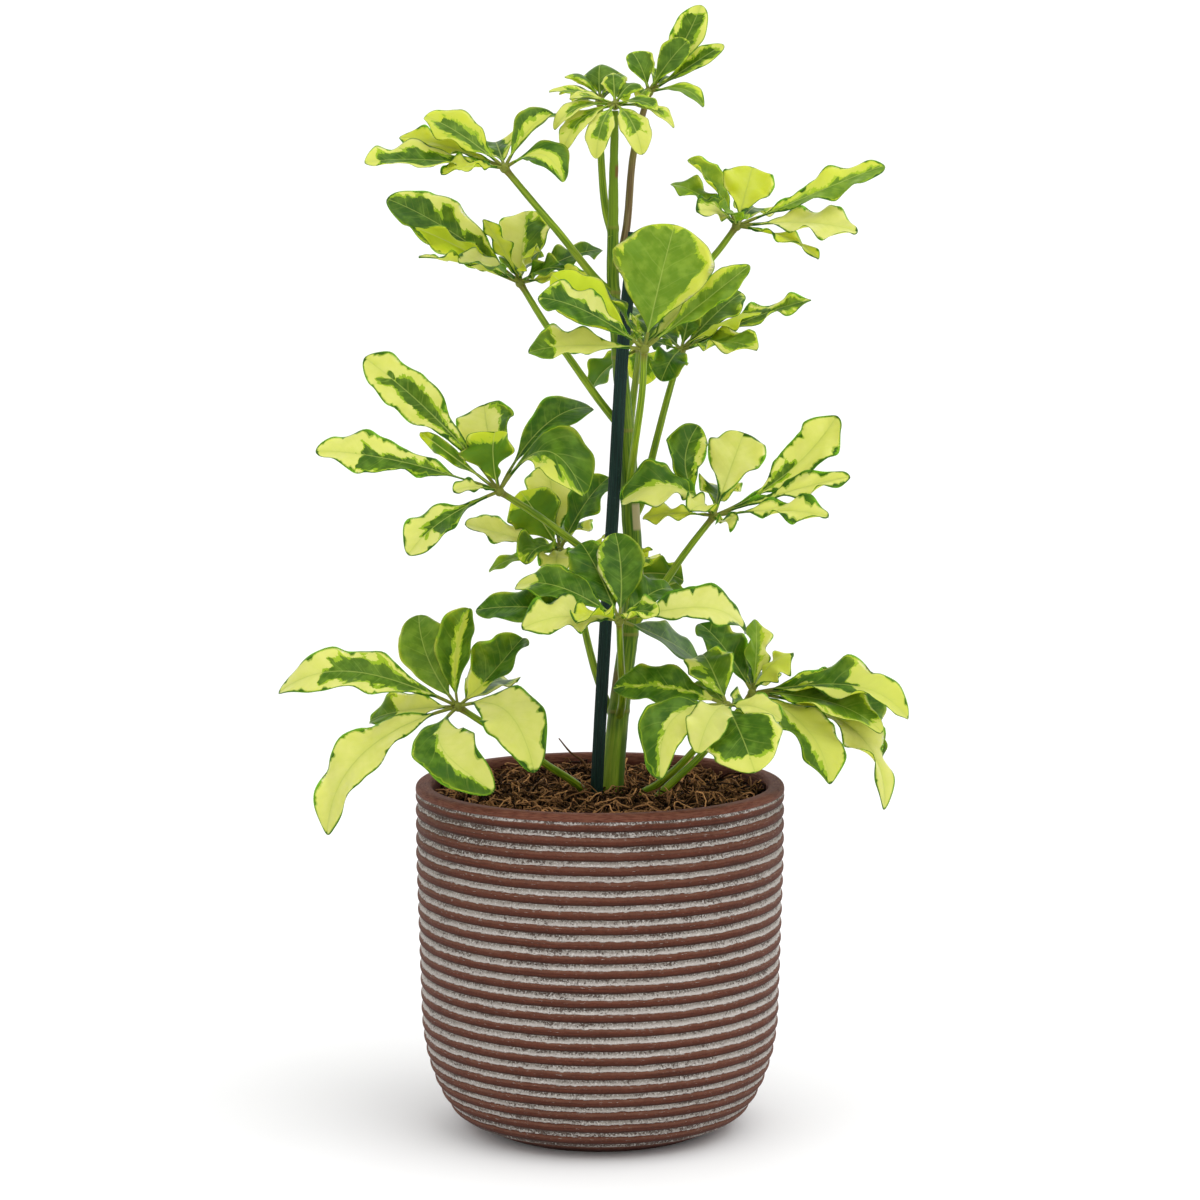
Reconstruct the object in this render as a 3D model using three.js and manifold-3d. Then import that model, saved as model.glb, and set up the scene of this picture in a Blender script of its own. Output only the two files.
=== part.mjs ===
// A potted umbrella plant: a ribbed pot of soil, a support stake, one main stem and its palmate leaves.
// Millimetres, +Z up, origin at the middle of the pot's flat underside, seen from the -Y side.
import * as THREE from "three";
import { mergeVertices } from "three/addons/utils/BufferGeometryUtils.js";
import Module from "manifold-3d";

const wasm = await Module();
wasm.setup();

// Clear space between pieces that touch.
const GAP = 0.3;
// Slivers thinner than this are smoothed away where blades meet.
const SLIVER = 0.03;

// The pot: upright wall over an elliptical foot, with ribs all the way down.
const POT_HEIGHT = 190;
const POT_RADIUS = 100;
const POT_WAIST_RADIUS = 97.6;
const POT_WAIST_HEIGHT = 69;
const POT_SHOULDER_HEIGHT = 150;
const POT_FOOT_RADIUS = 60;
const POT_WALL = 9;
const POT_FOOT_WALL = 14;
const POT_FLOOR = 9;
const POT_SIDES = 24;
const LIP_DROP = 4.5;
const LIP_ROUND = 2.5;
const RIB_COUNT = 23;
const RIB_PITCH = 7.8;
const RIB_TOP = 182;
const RIB_DEPTH = 2;
const RIB_HALF_FACE = 1.7;
const INSIDE_RINGS = 4;
const INSIDE_RING_CROWDING = 1.7;

// The soil: a bumpy top a little under the rim.
const SOIL_LEVEL = 180;
const SOIL_BUMP = 1.6;
const SOIL_RINGS = 4;
const SOIL_LUMP_TURN = 0.19;
const SOIL_FINE_TURN = 0.31;
const SOIL_FINE_SHARE = 0.6;

// The stake: a ridged rod that leans in front of the stem.
const STAKE_RADIUS = 3.4;
const STAKE_RIDGE = 0.3;
const STAKE_RIDGES = 8;
const STAKE_STEPS = 7;
const STAKE_ROUTE = [
  [-5.5, -4, 70], [-2, -4, 181], [2.2, -4.5, 262], [7.2, -5, 343], [12.3, -6, 427], [18.3, -7, 487],
];

// The main stem: its centre line, from its buried end to its growing tip, and its radius there.
const STEM_SIDES = 8;
const STEM_STEPS = 22;
const STEM_ROUTE = [
  [6, 8, 135], [6.5, 8, 181], [10.3, 8, 228], [15.6, 8, 270], [18.3, 7.5, 303], [16.7, 7, 333],
  [15, 6.5, 365], [11, 6, 413], [7, 5.5, 459], [7, 5, 489], [7.4, 3, 525], [8, 0, 551],
];
const STEM_RADII = [5.6, 6.3, 6, 5.4, 5, 5, 4.9, 4.4, 3.6, 3.2, 2.5, 1.9];

// Leaf stalks taper from the stem to the hub where the leaflets spread.
const STALK_SIDES = 6;
const STALK_STEPS = 6;
const STALK_ROOT_RADIUS = 2.3;
const STALK_TIP_RADIUS = 1.7;
const HUB_RADIUS = 3.2;

// A leaflet: a short stalk, then an obovate blade, thickest along its midrib. Its section has two sides
// under the blade and two on top.
const BLADE_UNDER_SIDES = 2;
const LEAFLET_START = 0.01;
const LEAFLET_STALK_SHARE = 0.12;
const LEAFLET_STALK_RADIUS = 0.75;
const MIDRIB_THICKNESS = 1.7;
const MIDRIB_THINNING = 0.45;
const TIP_THICKNESS_SHARE = 0.4;
const TIP_WIDTH_SHARE = 0.26;
const STATION_SPACING = 14;
const FEWEST_STATIONS = 3;
const MOST_STATIONS = 5;
const STATION_CROWDING = 0.87;
const BASE_NARROWING = 0.85;
const TIP_BLUNTNESS = 0.55;
const WAVES = 2.6;
const WAVE_GROWTH = 0.5;
const MARGIN_LAG = 0.3;
const GOLDEN = 0.618;

// Every leaf: its hub, the way its umbrella faces, how wavy its margins are, where along their length
// its blades are widest, and its stalk's route from the hub down to the stem or the soil.
// A leaflet's row gives its tip from the hub (x, y, z), its width, how far its midrib bows upward and
// to its right, its roll, and how far its halves fold up.
const LEAVES = [
  {
    name: "leaf_lower_left",
    hub: [-75, -45, 238],
    faces: [-0.15, -0.7, 0.7],
    wave: 2.5,
    widest: 0.56,
    stalk: [[-52, -34, 221], [-30, -22, 204], [-7, 4, 181], [-4, 9, 160]],
    leaflets: [
      [-94, -10, 9, 28, 20, 2, 0, 12],
      [-68, -25, -64, 30, 19, 8, 0, 14],
      [-48, 22, -11, 22, 4, 0, 0, 20],
      [-22, 30, 45, 32, 5, -3, 0, 10],
      [5, 20, 50, 23, 3, 1, 0, 40],
      [34, 12, 35, 33, 4, 5, -10, 30],
      [41, -42, -28, 30, 16, -10, 0, 10],
      [20, -48, -37, 33, 13, 17, 0, 12],
      [26, 50, 6, 26, 5, 0, 0, 15],
    ],
  },
  {
    name: "leaf_lower_front",
    hub: [66, -80, 244],
    faces: [-0.1, -0.72, 0.69],
    wave: 2.2,
    widest: 0.56,
    stalk: [[48, -52, 214], [32, -26, 194], [18, -6, 180], [14, 0, 162]],
    leaflets: [
      [-59, 15, 7, 25, 3, 4, 0, 10],
      [-35, -28, -34, 28, 14, 11, 0, 16],
      [-16, -38, -20, 27, 10, 0, 0, 10],
      [13, -42, -28, 38, 6, 0, 0, 6],
      [31, -13, -6, 20, 6, 0, 0, 12],
      [-12, 26, 9, 19, 2, 0, 0, 20],
      [-12, 27, 23, 26, 6, 0, 0, 16],
      [18, 38, -12, 24, 4, 0, 0, 14],
    ],
  },
  {
    name: "leaf_lower_right",
    hub: [82, -10, 240],
    faces: [0.2, -0.5, 0.84],
    wave: 2.8,
    widest: 0.58,
    stalk: [[68, -10, 222], [54, -12, 206], [28, -14, 180], [22, -14, 164]],
    leaflets: [
      [-28, 20, 35, 27, 4, 0, 0, 14],
      [-12, 40, 22, 18, 3, 0, 30, 10],
      [2, 15, 38, 17, 2, 0, 20, 16],
      [22, -2, 22, 25, -4, 0, 155, 14],
      [83, -12, -12, 32, 15, 0, 0, 20],
      [68, -28, -17, 25, 9, 0, 0, 16],
      [40, -38, -43, 32, 12, -2, 0, 12],
      [70, -20, -60, 23, 20, -9, 0, 14],
      [70, 14, -40, 26, 27, 0, 0, 14],
      [66, 32, -12, 22, 8, 0, 0, 20],
      [6, 46, 4, 24, 4, 0, 0, 14],
    ],
  },
  {
    name: "leaf_middle_left",
    hub: [-53, -40, 352],
    faces: [-0.3, -0.62, 0.72],
    wave: 2.6,
    widest: 0.7,
    stalk: [[-34, -22, 338], [-12, 2, 319], [4, 8, 305], [14, 8, 297]],
    leaflets: [
      [-72, 24, 69, 29, 0, 4, 0, 10],
      [-96, -8, 22, 28, 4, 2, 0, 12],
      [-47, -24, -31, 28, 5, 0, 0, 16],
      [-9, 38, 43, 32, 3, 0, 0, 10],
      [-2, 4, 31, 34, -3, 0, 165, -24],
      [48, 32, 42, 25, 12, -3, 10, 12],
      [45, -14, -1, 40, 18, -14, 0, 12],
      [-48, 14, 27, 16, -3, 0, 160, 10],
      [-26, -14, -2, 14, 3, 0, 0, 16],
    ],
  },
  {
    name: "leaf_centre_front",
    hub: [10, -75, 288],
    faces: [0, -0.6, 0.8],
    wave: 2.4,
    widest: 0.58,
    stalk: [[11, -50, 263], [12, -22, 240], [11, 1, 228], [10, 6, 224]],
    leaflets: [
      [-20, 30, 37, 28, 4, 0, 0, 8],
      [-2, 24, 43, 25, 3, 2, 0, 10],
      [-75, 18, 3, 24, 5, 0, 0, 8],
      [-54, 14, 16, 26, 10, 0, 0, 14],
      [-50, -26, -1, 28, 6, 0, 0, 12],
      [-22, -40, 4, 20, 4, 0, 20, 24],
      [20, -25, 6, 18, 4, 0, 0, 16],
      [66, 6, -7, 33, 9, 0, 0, 16],
      [46, 46, -33, 23, 4, 0, 0, 10],
      [28, 26, 13, 24, 6, 0, 0, 14],
    ],
  },
  {
    name: "leaf_centre_back",
    hub: [-22, 45, 311],
    faces: [-0.1, -0.45, 0.89],
    wave: 2.6,
    widest: 0.64,
    stalk: [[-14, 38, 300], [-8, 28, 268], [-1, 18, 243], [8, 10, 222]],
    leaflets: [
      [-52, -10, 16, 26, 0, 0, 0, 12],
      [-22, 8, 32, 32, -3, 0, 160, 8],
      [-7, 30, 45, 29, 2, 0, 0, 10],
      [27, 6, 40, 26, 4, 0, 0, 14],
      [28, -5, 12, 19, 3, 0, 150, 12],
      [-19, -22, -5, 24, 7, 0, 0, 26],
      [-37, -6, -15, 13, 3, 0, 0, 8],
      [-2, -29, -11, 20, 5, 0, 0, 12],
      [8, 42, 10, 28, 4, 0, 0, 12],
    ],
  },
  {
    name: "leaf_middle_right",
    hub: [61, -10, 336],
    faces: [0.1, -0.62, 0.78],
    wave: 3,
    widest: 0.7,
    stalk: [[46, -6, 316], [31, 0, 293], [20, 6, 277], [16, 8, 272]],
    leaflets: [
      [-8, 20, 47, 22, 3, -12, 0, 12],
      [17, 30, 42, 32, 2, 0, 0, 8],
      [66, 8, 53, 27, -2, 7, 0, 10],
      [72, -12, 22, 17, 2, 0, 0, 18],
      [60, -24, 2, 19, 4, 0, 0, 18],
      [-50, -14, 9, 32, 16, 0, 0, 16],
      [-14, -28, 5, 20, 5, 0, 0, 24],
      [14, -26, 3, 17, 4, 0, 140, 16],
      [-38, 6, -2, 14, 3, 0, 0, 14],
      [4, 40, 12, 26, 4, 0, 0, 12],
    ],
  },
  {
    name: "leaf_upper_right",
    hub: [73, 5, 490],
    faces: [0.2, -0.5, 0.84],
    wave: 2.4,
    widest: 0.66,
    stalk: [[60, 6, 473], [38, 9, 452], [16, 8, 428], [10, 6, 420]],
    leaflets: [
      [79, 4, 32, 23, 3, 3, 0, 10],
      [64, -10, -3, 29, 4, 0, 0, 10],
      [43, -16, -17, 16, 4, 0, -15, 8],
      [9, 20, 31, 28, 2, 0, 0, 6],
      [-26, 12, 35, 17, 2, 2, 0, 40],
      [-35, 8, 22, 18, 4, 0, 0, 14],
      [-22, -12, 8, 22, 4, 0, 0, 14],
      [-6, -20, 7, 18, 3, 0, 0, 20],
      [12, 34, 8, 24, 4, 0, 0, 12],
    ],
  },
  {
    name: "leaf_upper_front",
    hub: [23, -60, 428],
    faces: [-0.05, -0.62, 0.78],
    wave: 2.2,
    widest: 0.64,
    stalk: [[22, -48, 405], [18, -24, 372], [16, -2, 350], [16, 6, 345]],
    leaflets: [
      [16, 14, 64, 52, 2, 0, 0, 4],
      [55, 14, 43, 18, 0, 0, 20, 18],
      [36, 40, 34, 22, 2, 0, 0, 10],
      [-55, -6, 27, 27, 6, 0, 0, 14],
      [-48, 12, 38, 26, -4, 0, 150, 12],
      [-60, -12, -1, 24, 4, 0, 0, 16],
      [-28, 22, 35, 16, 3, 0, 60, 10],
      [6, 40, 14, 24, 4, 0, 0, 12],
    ],
  },
  {
    name: "leaf_upper_back_right",
    hub: [44, 30, 422],
    faces: [0.15, -0.5, 0.85],
    wave: 2.8,
    widest: 0.62,
    stalk: [[37, 26, 398], [29, 18, 368], [22, 11, 340], [17, 8, 331]],
    leaflets: [
      [43, -14, 21, 24, -4, 0, 155, 10],
      [71, 10, 27, 14, 3, 0, 0, 14],
      [34, 28, 30, 21, 3, 0, 0, 14],
      [40, -30, 2, 26, 5, 0, 0, 12],
      [6, 12, 24, 15, 2, 0, 0, 14],
      [-11, -24, -15, 21, 6, 0, 0, 14],
      [-24, -8, 4, 14, 3, 0, 0, 16],
      [24, 40, 0, 25, 5, 0, 0, 12],
      [-16, 32, 8, 22, 4, 0, 0, 12],
    ],
  },
  {
    name: "leaf_high_left",
    hub: [-50, -25, 521],
    faces: [-0.15, -0.5, 0.85],
    wave: 2.4,
    widest: 0.62,
    stalk: [[-36, -18, 504], [-21, -11, 486], [-3, 0, 463], [5, 5, 455]],
    leaflets: [
      [-73, -10, 3, 25, 3, 0, 0, 16],
      [-42, 6, 27, 27, 3, 0, 0, 12],
      [-56, 17, 16, 18, 3, 0, 0, 14],
      [-31, -17, -5, 16, 3, 0, 0, 18],
      [27, 20, 27, 21, 7, 0, 0, 30],
      [31, -12, -7, 25, 10, -5, 0, 12],
      [-6, 36, 13, 23, 4, 0, 0, 12],
    ],
  },
  {
    name: "leaf_upper_left",
    hub: [-43, 20, 459],
    faces: [-0.2, -0.58, 0.79],
    wave: 2.8,
    widest: 0.6,
    stalk: [[-30, 18, 438], [-18, 15, 421], [0, 10, 396], [12, 7, 381]],
    leaflets: [
      [-72, 8, 45, 34, 3, 2, 0, 12],
      [-56, -12, 30, 19, -3, 0, 160, 12],
      [-53, -34, 15, 12, 3, 0, 30, 14],
      [-32, -30, 12, 23, 4, 0, 0, 16],
      [-20, 6, 34, 15, 2, 0, 20, 14],
      [3, 22, 38, 30, 2, 0, 0, 8],
      [9, -12, 20, 22, -3, 0, 150, 10],
      [24, -14, 8, 16, 4, 0, 0, 16],
      [44, 20, 17, 18, 4, 0, 0, 12],
      [40, -6, 2, 14, 3, 0, 0, 16],
      [2, 42, 10, 25, 4, 0, 0, 12],
    ],
  },
  {
    name: "leaf_crown_front",
    hub: [8, -3, 554],
    faces: [-0.05, -0.4, 0.92],
    wave: 0.5,
    widest: 0.62,
    stalk: [],
    leaflets: [
      [-35, 0, 7, 10, 3, 0, 0, 12],
      [-24, -10, 3, 9, 3, 0, 0, 14],
      [-24, 5, 0, 7, 4, 0, 0, 12],
      [-32, -17, -13, 13, 7, 0, 0, 14],
      [-27, -20, -24, 16, 8, 0, 0, 10],
      [-10, -27, -28, 15, 8, 0, 0, 10],
      [14, -26, -26, 17, 8, 0, 0, 10],
      [31, -9, -12, 11, 6, 0, 0, 12],
      [-1, 12, 17, 20, 3, 0, 0, 12],
      [13, 9, 11, 14, 4, 0, 0, 12],
      [22, -16, -3, 12, 4, 0, 0, 14],
    ],
  },
  {
    name: "leaf_crown_back",
    hub: [0, 22, 556],
    faces: [-0.1, 0, 1],
    wave: 0.5,
    widest: 0.62,
    stalk: [[0.5, 17, 528], [3, 11, 499], [7, 5, 484]],
    leaflets: [
      [2, 21, 18, 25, 6, 0, 0, 10],
      [-19, -3, 13, 18, 5, 0, 0, 12],
      [-22, 15, 4, 15, 5, 0, 0, 12],
      [14, 15, 13, 17, 5, 0, 0, 12],
      [14, 26, 0, 14, 6, 0, 0, 12],
      [-12, 28, -2, 14, 6, 0, 0, 12],
    ],
  },
  {
    name: "leaf_crown_right",
    hub: [26, 12, 561],
    faces: [0.2, -0.55, 0.81],
    wave: 0.6,
    widest: 0.66,
    stalk: [[18, 13, 529], [14, 11, 488], [9, 6, 466]],
    leaflets: [
      [28, 6, 46, 19, 1, 3, 0, 8],
      [40, 4, 25, 14, 2, 2, 0, 10],
      [21, -6, 27, 19, 2, 0, 0, 10],
      [-9, 2, 21, 20, 2, 0, 0, 12],
      [29, -10, -8, 12, 5, 0, 0, 12],
      [-6, -11, -4, 10, 3, 0, 0, 14],
      [10, 26, 8, 15, 4, 0, 0, 12],
    ],
  },
  {
    name: "leaf_back_upper",
    hub: [22, 75, 420],
    faces: [0.05, 0.5, 0.86],
    wave: 2.2,
    widest: 0.62,
    stalk: [[20, 55, 408], [17, 30, 387], [15, 12, 371], [14.5, 6, 366]],
    leaflets: [
      [-27, -4, -23, 26, 5, 0, 0, 12],
      [-26, 32, 14, 26, 6, 0, 0, 12],
      [0, 46, 20, 25, 6, 0, 0, 12],
      [30, 38, 6, 25, 6, 0, 0, 12],
      [28, 4, 27, 23, 5, 0, 0, 12],
      [2, 30, -22, 24, 7, 0, 0, 12],
    ],
  },
  {
    name: "leaf_back_lower",
    hub: [15, 62, 296],
    faces: [0.1, 0.45, 0.89],
    wave: 2.4,
    widest: 0.6,
    stalk: [[15, 44, 286], [15, 24, 270], [14.5, 10, 257], [14, 7, 253]],
    leaflets: [
      [31, -10, -2, 20, 4, 0, -30, 12],
      [14, -2, 14, 12, 3, 0, 0, 24],
      [-32, 14, -6, 27, 6, 0, 0, 12],
      [-28, 36, 4, 24, 7, 0, 0, 12],
      [9, 48, -3, 25, 7, 0, 0, 12],
      [30, 30, -24, 25, 7, 0, 0, 12],
    ],
  },
];

function toSolid(geometry) {
  const bare = geometry.clone();
  bare.deleteAttribute("normal");
  bare.deleteAttribute("uv");
  const merged = mergeVertices(bare, 1e-4);
  const vertProperties = new Float32Array(merged.attributes.position.array);
  const triVerts = new Uint32Array(merged.index.array);
  return new wasm.Manifold(new wasm.Mesh({ numProp: 3, vertProperties, triVerts }));
}

function toGeometry(solid) {
  const mesh = solid.simplify(SLIVER).getMesh();
  const geometry = new THREE.BufferGeometry();
  geometry.setAttribute("position", new THREE.BufferAttribute(mesh.vertProperties, 3));
  geometry.setIndex(new THREE.BufferAttribute(mesh.triVerts, 1));
  return geometry;
}

function makeMesh(name, solid, colour, roughness) {
  const material = new THREE.MeshStandardMaterial({ color: colour, roughness, metalness: 0 });
  const mesh = new THREE.Mesh(toGeometry(solid), material);
  mesh.name = name;
  return mesh;
}

// A closed skin over rows of points: each row is one ring, and the first and last rings are capped.
// From mirrorFrom on, the sides are split along the other diagonal, as the first sides seen in a mirror.
function skin(rings, mirrorFrom = Infinity) {
  const around = rings[0].length;
  const positions = rings.flat().flatMap((point) => point.toArray());
  const triangles = [];
  for (let row = 0; row + 1 < rings.length; row += 1) {
    for (let i = 0; i < around; i += 1) {
      const a = row * around + i;
      const b = row * around + (i + 1) % around;
      if (i < mirrorFrom) {
        triangles.push(a, b, b + around, a, b + around, a + around);
      } else {
        triangles.push(a, b, a + around, b, b + around, a + around);
      }
    }
  }
  const last = (rings.length - 1) * around;
  for (let i = 1; i + 1 < around; i += 1) {
    triangles.push(0, i + 1, i);
    triangles.push(last, last + i, last + i + 1);
  }
  const geometry = new THREE.BufferGeometry();
  geometry.setAttribute("position", new THREE.Float32BufferAttribute(positions, 3));
  geometry.setIndex(triangles);
  return geometry;
}

// A round rod along a smooth route. radiusAt gives its radius by the share of its length and the side.
function rod(route, steps, sides, radiusAt) {
  const curve = new THREE.CatmullRomCurve3(route.map((point) => new THREE.Vector3(...point)));
  const frames = curve.computeFrenetFrames(steps);
  const rings = [];
  for (let step = 0; step <= steps; step += 1) {
    const centre = curve.getPointAt(step / steps);
    const ring = [];
    for (let side = 0; side < sides; side += 1) {
      const angle = (2 * Math.PI * side) / sides;
      const radius = radiusAt(step / steps, side);
      ring.push(centre.clone()
        .addScaledVector(frames.normals[step], radius * Math.cos(angle))
        .addScaledVector(frames.binormals[step], radius * Math.sin(angle)));
    }
    rings.push(ring);
  }
  return toSolid(skin(rings));
}

// The pot's outer radius at a height: an elliptical foot, then a slightly flaring wall.
function potRadius(height) {
  if (height < POT_WAIST_HEIGHT) {
    const below = (POT_WAIST_HEIGHT - height) / POT_WAIST_HEIGHT;
    return POT_FOOT_RADIUS + (POT_WAIST_RADIUS - POT_FOOT_RADIUS) * Math.sqrt(1 - below * below);
  }
  const above = (height - POT_WAIST_HEIGHT) / (POT_SHOULDER_HEIGHT - POT_WAIST_HEIGHT);
  return POT_WAIST_RADIUS + (POT_RADIUS - POT_WAIST_RADIUS) * Math.min(above, 1);
}

// The hollow's radius at a height: the wall is thicker low down.
function hollowRadius(height) {
  const share = (height - POT_FLOOR) / (POT_HEIGHT - POT_FLOOR);
  return potRadius(height) - THREE.MathUtils.lerp(POT_FOOT_WALL, POT_WALL, share);
}

// The hollow's side from the floor up to the soil's level, closer steps low down where it curves.
function hollowProfile(clearance) {
  const points = [];
  for (let ring = 0; ring <= INSIDE_RINGS; ring += 1) {
    const height = POT_FLOOR + (SOIL_LEVEL - POT_FLOOR) * (ring / INSIDE_RINGS) ** INSIDE_RING_CROWDING;
    const lifted = ring === 0 ? height + clearance : height;
    points.push(new THREE.Vector2(hollowRadius(height) - clearance, lifted));
  }
  return points;
}

function makePot() {
  const outside = [new THREE.Vector2(0, 0), new THREE.Vector2(POT_FOOT_RADIUS, 0)];
  for (let rib = RIB_COUNT - 1; rib >= 0; rib -= 1) {
    const middle = RIB_TOP - rib * RIB_PITCH;
    const below = middle - RIB_HALF_FACE;
    const above = middle + RIB_HALF_FACE;
    const groove = middle + RIB_PITCH / 2;
    outside.push(new THREE.Vector2(potRadius(below), below));
    outside.push(new THREE.Vector2(potRadius(above), above));
    outside.push(new THREE.Vector2(potRadius(groove) - RIB_DEPTH, groove));
  }
  const rim = [
    new THREE.Vector2(POT_RADIUS, POT_HEIGHT - LIP_ROUND),
    new THREE.Vector2(POT_RADIUS - LIP_ROUND, POT_HEIGHT),
    new THREE.Vector2(POT_RADIUS - POT_WALL + LIP_ROUND, POT_HEIGHT),
  ];
  const lipBottom = new THREE.Vector2(POT_RADIUS - POT_WALL, POT_HEIGHT - LIP_DROP);
  const inside = hollowProfile(0).reverse();
  const profile = [...outside, ...rim, lipBottom, ...inside, new THREE.Vector2(0, POT_FLOOR)];
  const turned = new THREE.LatheGeometry(profile, POT_SIDES);
  turned.rotateX(Math.PI / 2);
  return toSolid(turned);
}

function soilBump(x, y) {
  const lumps = Math.sin(x * SOIL_LUMP_TURN + 1) * Math.cos(y * SOIL_LUMP_TURN);
  return SOIL_BUMP * (lumps + SOIL_FINE_SHARE * Math.sin((x + y) * SOIL_FINE_TURN));
}

function makeSoil(standing) {
  const sidePoints = hollowProfile(GAP);
  const topPoints = [];
  const edge = sidePoints[sidePoints.length - 1].x;
  for (let ring = SOIL_RINGS - 1; ring > 0; ring -= 1) {
    topPoints.push(new THREE.Vector2((edge * ring) / SOIL_RINGS, SOIL_LEVEL));
  }
  const bottom = new THREE.Vector2(0, POT_FLOOR + GAP);
  const top = new THREE.Vector2(0, SOIL_LEVEL);
  const turned = new THREE.LatheGeometry([bottom, ...sidePoints, ...topPoints, top], POT_SIDES);
  turned.rotateX(Math.PI / 2);
  const position = turned.attributes.position;
  for (let i = 0; i < position.count; i += 1) {
    if (position.getZ(i) > SOIL_LEVEL - GAP) {
      position.setZ(i, SOIL_LEVEL + soilBump(position.getX(i), position.getY(i)));
    }
  }
  return standing.reduce((soil, piece) => soil.subtract(piece), toSolid(turned));
}

function stakeRod(extra) {
  const radiusAt = (share, side) => STAKE_RADIUS + extra - (side % 2) * STAKE_RIDGE;
  return rod(STAKE_ROUTE, STAKE_STEPS, STAKE_RIDGES * 2, radiusAt);
}

function stemRod(extra) {
  const lastPlace = STEM_RADII.length - 1;
  const radiusAt = (share) => {
    const place = Math.min(share * lastPlace, lastPlace - 1e-6);
    const before = Math.floor(place);
    return THREE.MathUtils.lerp(STEM_RADII[before], STEM_RADII[before + 1], place - before) + extra;
  };
  return rod(STEM_ROUTE, STEM_STEPS, STEM_SIDES, radiusAt);
}

function stalkRod(leaf, extra) {
  const radiusAt = (share) => THREE.MathUtils.lerp(STALK_TIP_RADIUS, STALK_ROOT_RADIUS, share) + extra;
  return rod([leaf.hub, ...leaf.stalk], STALK_STEPS, STALK_SIDES, radiusAt);
}

function hubBall(leaf, extra) {
  const ball = new THREE.IcosahedronGeometry(HUB_RADIUS + extra, 0);
  ball.translate(...leaf.hub);
  return toSolid(ball);
}

// The blade's width at a share of its length, as a share of its full width, which it has at widest.
function bladeOutline(share, widest) {
  const power = Math.log(0.5) / Math.log(widest);
  return Math.sin(Math.PI * share ** power) ** (share < widest ? BASE_NARROWING : TIP_BLUNTNESS);
}

// One leaflet: its midrib is an arc from the hub to the tip, and each margin waves on its own.
function leafletSolid(leaf, leafIndex, row, rowIndex) {
  const [x, y, z, width, arch, side, roll, fold] = row;
  const hub = new THREE.Vector3(...leaf.hub);
  const reach = new THREE.Vector3(x, y, z);
  const along = reach.clone().normalize();
  const right = along.clone().cross(new THREE.Vector3(...leaf.faces)).normalize();
  right.applyAxisAngle(along, THREE.MathUtils.degToRad(roll));
  const up = right.clone().cross(along);
  const middle = reach.clone().multiplyScalar(0.5);
  middle.addScaledVector(up, 2 * arch).addScaledVector(right, 2 * side);
  const midrib = new THREE.QuadraticBezierCurve3(new THREE.Vector3(), middle, reach);
  const foldAngle = THREE.MathUtils.degToRad(fold);
  const phase = leafIndex * 3 * GOLDEN + rowIndex * GOLDEN;

  const section = (share, halfWidth, halfThickness, lift) => {
    const centre = midrib.getPoint(share).add(hub);
    const tangent = midrib.getTangent(share);
    const over = right.clone().cross(tangent).normalize();
    const across = tangent.clone().cross(over);
    const margin = (sign) => centre.clone()
      .addScaledVector(across, sign * halfWidth * Math.cos(foldAngle))
      .addScaledVector(over, halfWidth * Math.sin(foldAngle) + lift(sign));
    const top = centre.clone().addScaledVector(over, halfThickness);
    const under = centre.clone().addScaledVector(over, -halfThickness);
    return [margin(1), under, margin(-1), top];
  };
  const stalkLift = () => 0;
  const rings = [
    section(LEAFLET_START, LEAFLET_STALK_RADIUS, LEAFLET_STALK_RADIUS, stalkLift),
    section(LEAFLET_STALK_SHARE, LEAFLET_STALK_RADIUS, LEAFLET_STALK_RADIUS, stalkLift),
  ];
  const wanted = Math.round(reach.length() / STATION_SPACING);
  const stations = THREE.MathUtils.clamp(wanted, FEWEST_STATIONS, MOST_STATIONS);
  for (let place = 1; place <= stations; place += 1) {
    const station = (place / (stations + 1)) ** STATION_CROWDING;
    const share = LEAFLET_STALK_SHARE + (1 - LEAFLET_STALK_SHARE) * station;
    const strength = leaf.wave * Math.sin(Math.PI * station) ** WAVE_GROWTH;
    const lift = (sign) => strength * Math.sin(2 * Math.PI * (WAVES * station + phase + MARGIN_LAG * sign));
    const halfWidth = Math.max((width / 2) * bladeOutline(station, leaf.widest), LEAFLET_STALK_RADIUS);
    const taper = 1 - MIDRIB_THINNING * station;
    rings.push(section(share, halfWidth, (MIDRIB_THICKNESS / 2) * taper, lift));
  }
  const tipThickness = (MIDRIB_THICKNESS / 2) * TIP_THICKNESS_SHARE;
  rings.push(section(1, (width / 2) * TIP_WIDTH_SHARE, tipThickness, stalkLift));
  return toSolid(skin(rings, BLADE_UNDER_SIDES));
}

function leafletsSolid(leaf, leafIndex) {
  const leaflets = leaf.leaflets.map((row, rowIndex) => leafletSolid(leaf, leafIndex, row, rowIndex));
  return leaflets.reduce((whole, leaflet) => whole.add(leaflet), hubBall(leaf, 0));
}

const stalked = LEAVES.filter((leaf) => leaf.stalk.length > 0);
const crown = LEAVES.find((leaf) => leaf.stalk.length === 0);
const soilHoles = [stemRod(GAP), stakeRod(GAP), ...stalked.map((leaf) => stalkRod(leaf, GAP))];

const plant = new THREE.Group();
plant.add(makeMesh("pot", makePot(), 0x6b4438, 0.75));
plant.add(makeMesh("soil", makeSoil(soilHoles), 0x3a2419, 0.95));
plant.add(makeMesh("stake", stakeRod(0), 0x14302c, 0.45));
plant.add(makeMesh("main_stem", stemRod(0).subtract(hubBall(crown, GAP)), 0x5d7f2c, 0.5));
for (const leaf of stalked) {
  const stalk = stalkRod(leaf, 0).subtract(stemRod(GAP)).subtract(hubBall(leaf, GAP));
  plant.add(makeMesh(`${leaf.name}_stalk`, stalk, 0x7d9a34, 0.5));
}
LEAVES.forEach((leaf, leafIndex) => {
  plant.add(makeMesh(`${leaf.name}_leaflets`, leafletsSolid(leaf, leafIndex), 0x4f8a2a, 0.4));
});

export default plant;
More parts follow.
